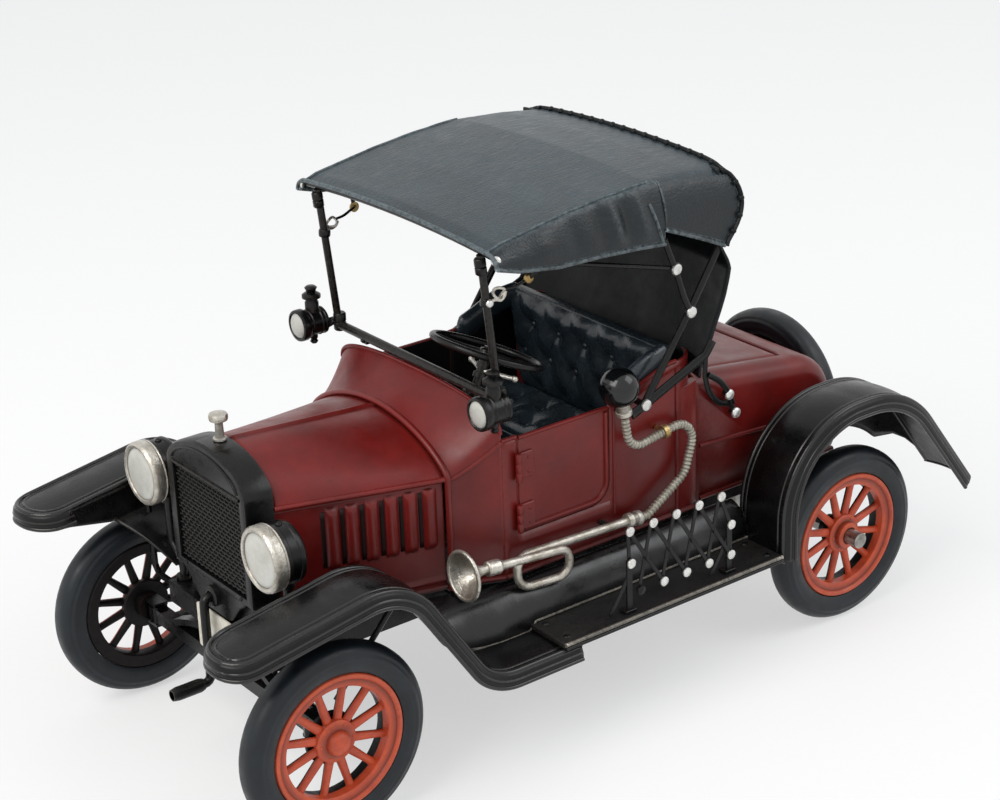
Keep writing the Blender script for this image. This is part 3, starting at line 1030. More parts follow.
def tufted(half, depth, thick, step, dent, first, count=(121, 61)):
    """Buttoned pad lying face up: z = crown(u, v) + puff |sin(pi p) sin(pi q)|^0.6 - dent at the buttons.

    p and q run along the two diagonals of the button net, so the puffs are diamonds and their creases the
    pleats. The rim falls away as a quarter circle and the underside is flat."""
    u = np.linspace(-1, 1, count[0])[None]
    v = np.linspace(0, 1, count[1])[:, None]
    x = half * u + 0 * v
    y = depth * v + 0 * u
    p = x / (2 * step) + (y - first) / (2 * TUFT_ROW)
    q = x / (2 * step) - (y - first) / (2 * TUFT_ROW)
    puff = np.abs(np.sin(np.pi * p) * np.sin(np.pi * q)) ** 0.6
    off_p, off_q = p - np.round(p), q - np.round(q)
    near = np.hypot(step * (off_p + off_q), TUFT_ROW * (off_p - off_q))
    edge = np.clip((1 - np.abs(u)) * half / PAD_RIM, 0, 1)
    edge = edge * np.clip(v * depth / PAD_RIM, 0, 1) * np.clip((1 - v) * depth / PAD_RIM, 0, 1)
    edge = np.sqrt(np.clip(1 - (1 - edge) ** 2, 0, 1))
    z = thick * (0.35 + 0.65 * edge) + 0.3 * dent * edge * (puff - 0.55)
    z = z - dent * edge * (0.8 * np.exp(-(near / 4.6) ** 2) + 0.5 * np.exp(-(near / 1.9) ** 2))
    top = coords(x, y, z)
    base = coords(x * PAD_PULL, depth / 2 + (y - depth / 2) * PAD_PULL, 0 * z)
    rim = np.concatenate([top[0, :-1], top[:-1, -1], top[-1, :0:-1], top[:0:-1, 0]])
    foot = np.concatenate([base[0, :-1], base[:-1, -1], base[-1, :0:-1], base[:0:-1, 0]])
    centre = np.broadcast_to(vec(0, depth / 2, 0), foot.shape)
    wall = grid(np.stack([rim, foot, centre]), close_v=True)
    k = np.arange(-8, 9)
    i, j = np.meshgrid(k, k)
    bx = (step * (i + j)).ravel().astype(float)
    by = (first + TUFT_ROW * (i - j)).ravel().astype(float)
    inside = (np.abs(bx) < half - BUTTON_MARGIN) & (by > BUTTON_MARGIN) & (by < depth - BUTTON_MARGIN)
    return grid(top), wall, coords(bx, by)[inside]


class ROADSTER_OT_seat(bpy.types.Operator):
    """Buttoned seat cushion and seat back"""
    bl_idname = "roadster.seat"
    bl_label = "Seat"

    def execute(self, context):
        sizes = context.scene.roadster_sizes
        for name, depth, thick, first, tilt, place, node in (
                ("buttoned_seat_cushion", 31.0, 8.0, 8.0, 0.0, (0, 8.0, 79.0), "seat_cushion"),
                ("buttoned_seat_back", 41.0, 7.0, 29.0, 97.0, (0, 50.3, 79.4), "seat_back")):
            top, wall, buttons = tufted(43.0, depth, thick, sizes.tuft_step / 2, sizes.tuft_depth, first)
            shapes = [top, wall]
            for bx, by in buttons:
                shapes.append(dome((bx, by, thick - sizes.tuft_depth * 1.35), Z, 1.4, 0.9, 12))
            piping = rectangle(-42.6, 0.5, 42.6, depth - 0.5, 2.0)
            cord = np.column_stack([np.concatenate([piping, piping[:1]]),
                                    np.full(len(piping) + 1, thick * 0.42)])
            shapes.append(tube(even(cord, 120), 0.7, 8, Z))
            c, s = np.cos(np.radians(tilt)), np.sin(np.radians(tilt))
            turn = np.array([(1, 0, 0), (0, c, -s), (0, s, c)])
            shapes = [(p @ turn.T + np.asarray(place), q) for p, q in shapes]
            ob = piece(name, shapes, "seat_cloth", [node])
        rolls = []
        for sign in (1, -1):
            path = spline([(sign * 43.0, 17.0, 107.6), (sign * 43.1, 26.0, 110.8), (sign * 42.8, 36.0, 115.0),
                           (sign * 41.5, 47.0, 116.6)], 40)
            along = np.linspace(0, 1, 40)
            thick = 2.6 * np.sqrt(np.clip(np.minimum(along, 1 - along) * 9, 0.15, 1))
            rolls.append(tube(path, thick, 16, X, 1.9))
        piece("padded_arm_rolls", rolls, "seat_cloth")
        return {"FINISHED"}


class ROADSTER_OT_controls(bpy.types.Operator):
    """Steering column with its levers, and the four-spoked steering wheel"""
    bl_idname = "roadster.controls"
    bl_label = "Steering"

    def execute(self, context):
        hub = vec(22.5, -18.0, 128.7)
        tip = np.radians(24)
        up = vec(0, np.sin(tip), np.cos(tip))
        side, fore = vec(1, 0, 0), np.cross(up, vec(1, 0, 0))
        foot = hub - up * ((128.7 - 56.6) / np.cos(tip))
        shapes = [rod(foot, hub - up * 3.0, 1.6, 14)]
        for along, r in ((8.5, 2.3), (5.0, 2.1)):
            shapes.append(lathe([(0, -0.9), (r, -0.9), (r, 0.9), (0, 0.9)], hub - up * along, up, 16))
        shapes.append(lathe([(0, 0), (4.0, 0), (4.0, 0.8), (1.8, 1.8), (0, 1.8)], foot + up * 0.3, Z, 18))
        for way in (-1, 1):
            base = hub - up * 6.8
            end = base + vec(way * 12.0, 5.0, -1.0)
            shapes.append((*rod(base, end, 0.75, 10), "silver"))
            shapes.append((*ball(end, (1.3, 1.1, 1.1), 12), "silver"))
        piece("steering_mast", shapes, "black_tin", ["steering_column"])
        t = np.linspace(0, 2 * np.pi, 13)[:-1]
        ring = coords(19.0 + 1.25 * np.cos(t), 1.25 * np.sin(t))
        shapes = [lathe(ring, hub, up, 64, ring=True)]
        for k in range(4):
            a = np.pi / 4 + k * np.pi / 2
            way = side * np.cos(a) + fore * np.sin(a)
            path = [hub + way * 1.5 - up * 0.9, hub + way * 8 - up * 0.9, hub + way * 16 - up * 0.3,
                    hub + way * 18.8]
            shapes.append(tube(spline(path, 12), np.linspace(1.15, 0.75, 12), 10, up))
        boss = [(0, -2.7), (2.6, -2.7), (2.6, 0.2), (2.2, 0.7), (1.4, 0.9), (1.4, 1.6), (0, 1.8)]
        shapes.append(lathe(boss, hub, up, 18))
        piece("steering_wheel_rim", shapes, "black_tin", ["steering_wheel"], "steering_wheel")
        return {"FINISHED"}


POST_X = 46.9


class ROADSTER_OT_screen(bpy.types.Operator):
    """Windscreen rail and posts with their clamps, and the roof straps with ring and hook"""
    bl_idname = "roadster.screen"
    bl_label = "Windscreen frame"

    def execute(self, context):
        y, z = -31.8, 122.2
        shapes = [rod((-POST_X, y, z), (POST_X, y, z), 1.6, 14),
                  rod((-POST_X + 2, y + 1.2, z - 1.9), (POST_X - 2, y + 1.2, z - 1.9), 0.8, 10)]
        for x in (-30.0, 30.0):
            shapes.append(slab(rectangle(x - 2, 119.9, x + 2, 122.6, 0.4), "y", y - 1.2, y + 0.6, 0.2))
            shapes.append(dome((x, y - 1.3, 121.0), (0, -1, 0), 0.9, 0.6))
        for sign in (1, -1):
            top = vec(sign * POST_X, -37.2, 173.6)
            low = vec(sign * POST_X, y, 121.8)
            shapes.append(rod(low, top, 1.35, 14))
            clamp = [(0, -2.6), (1.9, -2.6), (2.3, -2.1), (2.3, 0.2), (1.9, 0.6), (2.3, 1.0), (2.3, 3.5),
                     (1.9, 4.0), (0, 4.0)]
            shapes.append(lathe(clamp, low + vec(0, 0.4, 0.8), Z, 20))
            shapes.append(lathe(np.array(clamp) * 0.85, top + vec(0, 0, -4.4), top - low, 20))
            wing = low + vec(sign * 2.2, 0, 1.0)
            shapes.append(rod(wing, wing + vec(sign * 2.2, 0, 0), 0.9, 10))
            shapes.append(slab(rectangle(wing[1] - 2.4, wing[2] - 0.9, wing[1] + 2.4, wing[2] + 0.9, 0.8), "x",
                                 wing[0] + sign * 1.6, wing[0] + sign * 2.6, 0.2))
        piece("windscreen_rail_and_posts", shapes, "black_tin", ["windscreen_frame"])
        for side, sign in LEFT_RIGHT:
            low = vec(POST_X, -35.4, 157.2)
            eye, end = vec(POST_X + 1.4, -31.4, 159.8), vec(50.0, -20.5, 162.6)
            t = np.linspace(0, 2 * np.pi, 41)
            ring = coords(0.6 * np.sin(2 * t), 2.1 * np.cos(t), 1.7 * np.sin(t))
            hook = spline([low + vec(1.2, 0.2, 0), low + vec(1.8, 2.0, 0.8), low + vec(1.9, 4.4, 0.2),
                           low + vec(1.6, 6.0, 1.2), low + vec(1.4, 6.6, 2.6)], 24)
            shapes = [lathe([(0, -1.3), (1.9, -1.3), (2.1, -0.8), (2.1, 0.8), (1.9, 1.3), (0, 1.3)], low,
                            (0, 0.1, 1), 18), (*dome(low + vec(1.8, 0, 0), X, 1.4, 0.9), "nail"),
                      (*tube(hook, 0.55, 8, X), "silver"), (*tube(eye + ring, 0.5, 8, X), "silver"),
                      tube(spline([eye + vec(0, 1.8, 0.8), (eye + end) / 2 + vec(0, 0, -0.5), end], 10), 0.5, 8,
                           X), (*dome(end, X, 1.9, 1.1), "brass"), rod(end, vec(55.6, -18.0, 167.5), 0.8, 8)]
            piece(f"{side}_roof_strap", sided(shapes, sign), "black_tin")
        return {"FINISHED"}


FENDER_IN, FENDER_OUT, FENDER_LIP = 51.4, 74.0, 4.2
FRONT_PATH = rounded([(-153.5, 77.0), (-89.3, 87.2), (-57.5, 39.0), (-21.5, 39.0)], (24.7, 18.0), 24)
REAR_PATH = rounded([(72.0, 39.0), (72.0, 89.6), (133.0, 89.6), (168.6, 42.5)], (36.0, 40.0), 24)
TONGUE_IN, TONGUE_OUT = 12.0, 9.0
RIGHT_RISE = 2.5  # the right front fender was soldered on a little higher than the left
ARCH_RADIUS, AXLE_Z = 38.0, 33.5
# Low edge of each inner skirt: places along the car and heights
FRONT_LOW = ((-153.5, -141.5, -126, -101, -89.5, -78, -70.5, -63.6, -57, -21),
             (73.0, 72.9, 70, 70, 69, 65.5, 60, 52.5, 44, 38))
REAR_LOW = ((72, 112, 117.4, 123.8, 128.6, 138.2, 149.1, 156.4, 162.2, 168.6),
            (45, 45, 69.2, 65.8, 63.8, 61.0, 59.4, 55.2, 50.2, 44.9))
LIP_ROLL = ((0.0, 0.0), (0.35, -0.3), (0.7, -1.3), (1.0, -2.7), (1.2, -FENDER_LIP))
INNER_BEADS = ((0.7, 0.95), (3.0, 0.6))


def fender_shapes(path, skirt_low, wheel_y, tongue):
    """Fender: a side path carried across the car with a crown, a rolled lip and beads round its free edge.

    At length d from the tip the sheet runs from x_in(d) to x_out(d), quarter circles on a tongue and straight
    after it; it stands 1.1 sin(pi s) above the path at share s of the width. The skirt is the inner side down
    to its low edge, cut by a circle about the wheel."""
    length = np.linalg.norm(np.diff(path, axis=0), axis=1).sum()
    turn = 1 - np.cos(np.linspace(0, np.pi / 2, 17))
    d = np.linspace(0, length, 110)
    if tongue:
        d = np.r_[turn * TONGUE_IN, np.linspace(TONGUE_IN, length, 100)[1:]]
    fine = even(path, 900)
    along = np.linspace(0, length, 900)
    line = np.stack([np.interp(d, along, fine[:, k]) for k in (0, 1)], 1)
    slope = unit(np.gradient(fine, axis=0))
    ahead = np.stack([np.interp(d, along, slope[:, k]) for k in (0, 1)], 1)
    normal = unit(coords(-ahead[:, 1], ahead[:, 0]))
    cut_in, cut_out = (TONGUE_IN, TONGUE_OUT) if tongue else (0.0, 0.0)
    x_in = FENDER_IN + cut_in - np.sqrt(np.maximum(cut_in ** 2 - np.clip(cut_in - d, 0, None) ** 2, 0))
    x_out = FENDER_OUT - cut_out + np.sqrt(np.maximum(cut_out ** 2 - np.clip(cut_out - d, 0, None) ** 2, 0))

    def over(index, x, lift):
        """Point at a station, a place across and a height above the path."""
        index, x, lift = np.broadcast_arrays(index, x, lift)
        crown = 1.1 * np.sin(np.pi * np.clip((x - FENDER_IN) / (FENDER_OUT - FENDER_IN), 0, 1))
        yz = line[index] + normal[index] * (crown + lift)[..., None]
        return np.concatenate([x[..., None], yz], -1)

    stations = np.arange(len(d))
    s = np.linspace(0, 1, 19)[None]
    rows = over(stations[:, None], x_in[:, None] + (x_out - x_in)[:, None] * s, 0.0)
    sheet = [grid(rows[:, ::-1])]
    edge = np.concatenate([stations[::-1], stations[:18] if tongue else stations[:0]])
    place = np.concatenate([x_out[::-1], x_in[:18] if tongue else x_in[:0]])
    out = np.concatenate([np.ones(len(d)), -np.ones(len(edge) - len(d))])
    if tongue:
        sin_out = np.clip(1 - d / TONGUE_OUT, 0, 1)[::-1]
        sin_in = np.clip(1 - d / TONGUE_IN, 0, 1)[:18]
        tip = np.concatenate([sin_out, sin_in])
    else:
        tip = np.zeros(len(edge))
    side = out * np.sqrt(np.maximum(1 - tip ** 2, 0))

    def rim(reach, lift):
        """The free edge pushed outwards in the sheet and raised or lowered."""
        points = over(edge, place + side * reach, lift)
        points[:, 1:] -= ahead[edge] * (tip * reach)[:, None]
        return points

    lip = [rim(*step) for step in LIP_ROLL]
    sheet.append(grid(np.array(lip)[::-1]))
    top = line - normal * 0.3
    low = np.interp(top[:, 0], *skirt_low)
    gap = np.abs(top[:, 0] - wheel_y)
    reach = np.sqrt(np.clip(ARCH_RADIUS ** 2 - gap ** 2, 0, None))
    low = np.minimum(np.maximum(low, np.where(gap < ARCH_RADIUS, AXLE_Z + reach, 0)), top[:, 1] - 0.1)
    share = np.linspace(0, 1, 9)[:, None]
    z = top[:, 1] + (low - top[:, 1]) * share
    skirt = coords(x_in + 0.4, top[:, 0], z)
    sheet.append(grid(skirt))
    if tongue:
        mark = np.flatnonzero((top[:, 0] > -125) & (top[:, 0] < -60))
        outer = coords(FENDER_IN + 0.4, top[mark, 0], low[mark])
        inner = coords(31.0, np.maximum(top[mark, 0], -111.0 + 0.02 * top[mark, 0]), 57.0)
        bow = np.sin(np.pi * share)[:, None] * vec(0, 0, 1.5)
        share = share[:, None]
        sheet.append(grid(outer + (inner - outer) * share + bow))
    beads = [(*tube(rim(1.2, -FENDER_LIP), 0.75, 10, (1, 0.3, 0.2)), "bead"),
             (*tube(rim(0.9, -1.9), 0.5, 8, (1, 0.3, 0.2)), "bead"),
             (*tube(rim(-0.7, 0.2), 0.95, 10, (1, 0.3, 0.2)), "bead"),
             (*tube(rim(-3.0, 0.1), 0.6, 8, (1, 0.3, 0.2)), "bead")]
    inner = stations[16:] if tongue else stations
    for shift, r in INNER_BEADS:
        beads.append((*tube(over(inner, FENDER_IN + shift, 0.15), r, 10, X), "bead"))
    if tongue:
        beads.append(rod((49.4, -103.0, 38.5), (50.9, -78.5, 67.5), 1.0, 10))
    for end in rows[-1:] if tongue else rows[[-1, 0]]:
        beads.append((*tube(end, 0.75, 8, Z), "bead"))
    return sheet, beads


class ROADSTER_OT_fenders(bpy.types.Operator):
    """Four fenders with rolled lips, beads and inner skirts"""
    bl_idname = "roadster.fenders"
    bl_label = "Fenders"

    def execute(self, context):
        for end, path, low, wheel_y in (("front", FRONT_PATH, FRONT_LOW, FRONT_Y),
                                        ("rear", REAR_PATH, REAR_LOW, REAR_Y)):
            sheet, beads = fender_shapes(path, low, wheel_y, end == "front")
            for side, sign in LEFT_RIGHT:
                node = f"{end}_{side}_fender"
                rise = RIGHT_RISE if (end, side) == ("front", "right") else 0.0
                sets = []
                for shapes in (sheet, beads):
                    sets.append([(p + vec(0, 0, rise) * np.clip((-58 - p[:, 1:2]) / 25, 0, 1), *rest)
                                 for p, *rest in sided(shapes, sign)])
                piece(f"{node}_sheet", sets[0], "black_tin", [node], wall=0.8)
                piece(f"{node}_beads", sets[1], "black_tin")
        return {"FINISHED"}


BOARD_IN, BOARD_OUT, BOARD_TOP = 55.2, 74.3, 42.3
BOARD_FRONT, BOARD_REAR = -28.4, 70.8


class ROADSTER_OT_boards(bpy.types.Operator):
    """Running boards with a worn edge trim, and the quarter-round splash aprons above them"""
    bl_idname = "roadster.boards"
    bl_label = "Running boards"

    def execute(self, context):
        for side, sign in LEFT_RIGHT:
            top = rectangle(BOARD_IN, BOARD_FRONT, BOARD_OUT, BOARD_REAR, 1.0)
            shapes = [(*slab(top, "z", BOARD_TOP - 2.0, BOARD_TOP, 0.3), "board")]
            for edge_z, r, code in ((BOARD_TOP - 0.5, 0.7, "trim"), (BOARD_TOP - 2.0, 0.7, "black")):
                path = [(BOARD_OUT + 0.1, BOARD_FRONT + 0.3, edge_z),
                        (BOARD_OUT + 0.1, BOARD_REAR - 0.3, edge_z)]
                shapes.append((*tube(np.linspace(*path, 30), r, 10, Z), code))
            for y in (BOARD_FRONT + 4.0, BOARD_REAR - 4.0):
                for x in (BOARD_IN + 3.5, BOARD_OUT - 4.0):
                    shapes.append(dome((x, y, BOARD_TOP - 0.05), Z, 1.3, 0.6))
            piece(f"{side}_running_board_panel", sided(shapes, sign), "black_tin", [f"{side}_running_board"])
            y = np.r_[np.linspace(-62.0, -31.5, 25), np.linspace(-31.5, BOARD_REAR, 40)[1:]][None]
            t = np.linspace(0, np.pi / 2, 17)[:, None]
            top_x = np.interp(y, (-62.0, -49.7, -44.0, -31.5), (36.7, 40.0, 42.3, 47.0))
            low_x = np.interp(y, (-62.0, -57.5, -52.0, -47.8, -40.0), (51.2, 52.2, 53.4, 54.4, 55.6))
            low_z = np.interp(y, (-62.0, -57.5, -52.0, -47.8, -28.8, -28.2),
                              (46.6, 42.2, 40.0, 39.6, 39.6, 42.6))
            x = top_x + (low_x - top_x) * np.sin(t)
            z = 54.6 + (low_z - 54.6) * (1 - np.cos(t))
            skin = coords(x, y, z)
            apron = [(*grid(skin), "apron")]
            rolled = [(*tube(even(skin[-1], 80) + vec(0.3, 0, 0.2), 0.5, 8, Z), "trim")]
            piece(f"{side}_apron_rolled_edge", sided(rolled, sign), "black_tin")
            piece(f"{side}_curved_apron", sided(apron, sign), "black_tin", [f"{side}_splash_apron"], wall=0.8)
        return {"FINISHED"}


ROOF_FRONT, ROOF_BOW, ROOF_REAR = -38.5, 26.5, 61.5
ROOF_HALF, ROOF_FOLD, ROOF_CROWN = 57.5, 53.0, 2.2
ROOF_TAB = 31.0
# Creases in the roof's side: place along the car, height and half width
ROOF_CREASES = ((-20, 0.7, 4), (-8, -0.8, 3), (3, -1.1, 2.6), (9, 1.2, 2.4), (14, -1.2, 2.2), (20, 1.3, 2.6))


def roof_section(y, count=47):
    """Left half of the roof at one station, from the ridge over the fold to the hem.

    A shallow parabola and a slanting side are joined and blurred along their length by a Gaussian, narrow in
    front for a crisp fold and wide behind for a round shoulder; creases stand in the side ahead of the bow."""
    fold_z = np.interp(y, (-38.5, -33.8, -9.6, 6.9, 27.3, 45.7, 61.5),
                       (175.6, 177.3, 181.4, 183.4, 184.9, 184.2, 182.6))
    ahead = np.interp(y, (-38.5, -29.7, -13.7, 2.9, 19.8, ROOF_TAB), (171.3, 168.7, 166.4, 165.9, 164.8, 163.7))
    hem_z = ahead if y < ROOF_TAB else np.interp(y, (ROOF_TAB, 46.0, 61.5), (168.6, 162.8, 157.0))
    x = np.linspace(0, ROOF_FOLD, 107)
    sag = np.sin(np.pi * np.clip((y - ROOF_FRONT) / (ROOF_BOW - ROOF_FRONT), 0, 1))
    top = coords(x, fold_z + (ROOF_CROWN - 0.8 * sag) * (1 - (x / ROOF_FOLD) ** 2))
    v = np.linspace(0, 1, 41)[1:]
    lean = ROOF_FOLD + (ROOF_HALF - ROOF_FOLD) * np.sin(v * np.pi / 2) ** 0.8
    line = even(np.concatenate([top, coords(lean, fold_z + (hem_z - fold_z) * v)]), 161)
    spread = np.interp(y, (ROOF_FRONT, 22, 34, ROOF_REAR), (1.6, 1.6, 7.0, 13.0))
    reach = np.arange(-40, 41)
    weight = np.exp(-(reach / spread) ** 2)
    held = np.concatenate([2 * line[0] - line[40:0:-1], line, 2 * line[-1] - line[-2:-42:-1]])
    line = np.stack([np.convolve(held[:, k], weight / weight.sum(), "valid") for k in (0, 1)], 1)
    line = even(line, count)
    share = np.clip((line[:, 0] - ROOF_FOLD + 2) / 2, 0, 1)
    share = share * np.clip((fold_z + 1 - line[:, 1]) / (fold_z - hem_z), 0, 1)
    crease = sum(a * np.exp(-((y - m - 3 * share) / w) ** 2) for m, a, w in ROOF_CREASES)
    line[:, 0] += crease * np.sin(np.pi * share) + 0.5 * np.sin(np.pi * share)
    back = np.clip((y - ROOF_BOW) / (ROOF_REAR - ROOF_BOW), 0, 1) ** 2
    along = y + back * (6.0 * np.sin(np.pi * share) - 3.2 * share - 0.8 * np.clip((line[:, 0] - 40) / 13, 0, 1))
    return coords(line[:, 0], along, line[:, 1])


class ROADSTER_OT_top(bpy.types.Operator):
    """Folding top: skin with valance and seams, rear curtain, bows, riveted irons and latches"""
    bl_idname = "roadster.top"
    bl_label = "Folding top"

    def execute(self, context):
        sizes = context.scene.roadster_sizes
        marks = np.r_[np.linspace(ROOF_FRONT, ROOF_TAB - 0.05, 76), np.linspace(ROOF_TAB + 0.05, ROOF_REAR, 34)]
        half = np.stack([roof_section(y) for y in marks])
        rows = np.concatenate([half[:, ::-1], half[:, 1:] * vec(-1, 1, 1)], 1)
        piece("roof_skin", [grid(rows)], "slate_tin", ["roof"], wall=1.0, offset=-1.0)
        split = int(np.searchsorted(marks, ROOF_TAB))
        trims = []
        for side in (half, half * vec(-1, 1, 1)):
            for part in (side[:split, -1], side[split:, -1]):
                trims.append(tube(part + vec(0, 0, 0.2), 0.7, 8, X))
            fold = np.array([[np.interp(ROOF_FOLD - 0.8, np.abs(row[:, 0]), row[:, k]) for k in range(3)]
                             for row in side[:split - 4]])
            trims.append(tube(fold + vec(0, 0, 0.1), 0.45, 8, X))
            seam = np.array([roof_section(25.2 + 0.55 * i)[37 + i]
                             for i in range(10)]) * vec(np.sign(side[0, -1, 0]), 1, 1)
            trims.append(tube(spline(seam, 30) + vec(0, 0, 0.1), 0.6, 8, Y))
        trims.append(tube(even(rows[0], 140), 0.8, 8, Y))
        piece("roof_hems_and_welts", trims, "slate_tin")
        edge = even(rows[-1], 240)
        band = [(*tube(edge + vec(0, 0.5, 0), 0.8, 10, Y, 1.6), "curtain")]
        length = np.linalg.norm(np.diff(rows[-1], axis=0), axis=1).sum()
        centre = edge.mean(0) - vec(0, 0, 30)
        for spot in even(rows[-1], int(length / sizes.tack_step))[1:-1]:
            away = unit((spot - centre) * vec(0.5 if abs(spot[0]) < 45 else 1.6, 0, 1) + vec(0, 10, 0))
            band.append((*dome(spot + away * 0.6, away, 1.15, 1.1, 10), "curtain"))
        piece("roof_rear_band", band, "slate_tin")
        tacks = []
        for sign in (1, -1):
            tacks.append((*dome((sign * 55.6, ROOF_FRONT + 1.0, 173.6), (sign * 0.8, -0.6, 0.2), 1.7, 0.9),
                          "nail"))
        piece("roof_corner_tacks", tacks, "silver_tin")
        level = np.array((108.0, 113.5, 115.6, 120.0, 126.0, 131.5, 137.0, 142.8, 146.3, 149.5, 152.5, 156.0,
                          162.0, 174.0, 183.0))
        depth = np.array((54.6, 55.2, 56.6, 58.8, 61.0, 63.2, 65.0, 66.2, 66.6, 65.4, 63.6, 61.6, 60.6, 60.4,
                          60.0))
        z = np.linspace(level[0], level[-1], 60)[:, None]
        u = np.linspace(-1, 1, 49)[None]
        x = (50.3 + 2.6 * np.clip((z - level[0]) / 40, 0, 1)) * u
        cy = np.interp(z, level, depth) - 2.0 * np.abs(u) ** 8 + 0.35 * np.sin(9 * u + z * 0.06) + 0 * x
        piece("rear_curtain_sheet", [(*grid(coords(x, cy, z)[:, ::-1]), "curtain")], "slate_tin",
              ["rear_curtain"], wall=0.9)
        under = even(rows[0][np.abs(rows[0][:, 0]) < ROOF_FOLD + 1.5], 80) + vec(0, 1.9, -1.5)
        piece("roof_front_bar", [tube(under, 1.2, 12, Y)], "black_tin")
        base, cross, joint = (26.6, 105.7), (47.2, 134.3), (40.5, 151.4)
        lines = (((base, cross, (61.0, 155.0)), 1.2, 1.25),
                 ((cross, (44.2, 140.8), joint, (35.6, 163.0)), 1.0, 1.2), ((joint, (-19.0, 168.0)), 0.8, 1.0),
                 (((20.6, 103.4), base, (54.0, 116.5), (57.5, 121.0)), 0.9, 2.1))
        shapes = []
        for index, (line, r, flat) in enumerate(lines):
            path = even(np.array([(51.0 + 0.5 * (index % 2), *p) for p in line]), 24)
            shapes.append(tube(path, r, 10, X, flat))
        for y0, z0 in (base, cross, joint):
            shapes.append((*lathe([(0, 0), (1.9, 0), (2.1, 0.3), (1.9, 0.8), (1.3, 1.1), (0, 1.2)],
                                  (51.9, y0, z0), X, 18), "nail"))
            shapes.append(lathe([(0, 0), (2.5, 0), (2.5, 0.5), (0, 0.5)], (51.6, y0, z0), X, 18))
        shapes.append(rod((46.8, *base), (51.0, *base), 1.2, 12))
        latch = ([(60.4, 114.8), (60.2, 104.2), (62.8, 97.1), (67.2, 92.8), (72.0, 91.0), (74.2, 87.3)],
                 [(60.9, 105.6), (67.1, 100.9), (71.0, 95.2), (72.8, 91.2)])
        for index, line in enumerate(latch):
            path = spline([(45.0 + 0.7 * index, *p) for p in line], 30)
            shapes.append(tube(path, 0.6, 12, X, 1.9))
        for y0, z0 in ((71.0, 95.2), (74.2, 87.3)):
            shapes.append(rod((43.0, y0, z0), (45.6, y0, z0), 1.0, 10))
            shapes.append((*dome((45.9, y0, z0), X, 2.0, 1.0, 16), "nail"))
        shapes.append(rod((44.6, 59.0, 113.5), (47.5, 58.6, 115.5), 1.0, 10))
        for side, sign in LEFT_RIGHT:
            piece(f"{side}_riveted_irons", sided(shapes, sign), "black_tin", [f"{side}_top_iron"])
        return {"FINISHED"}


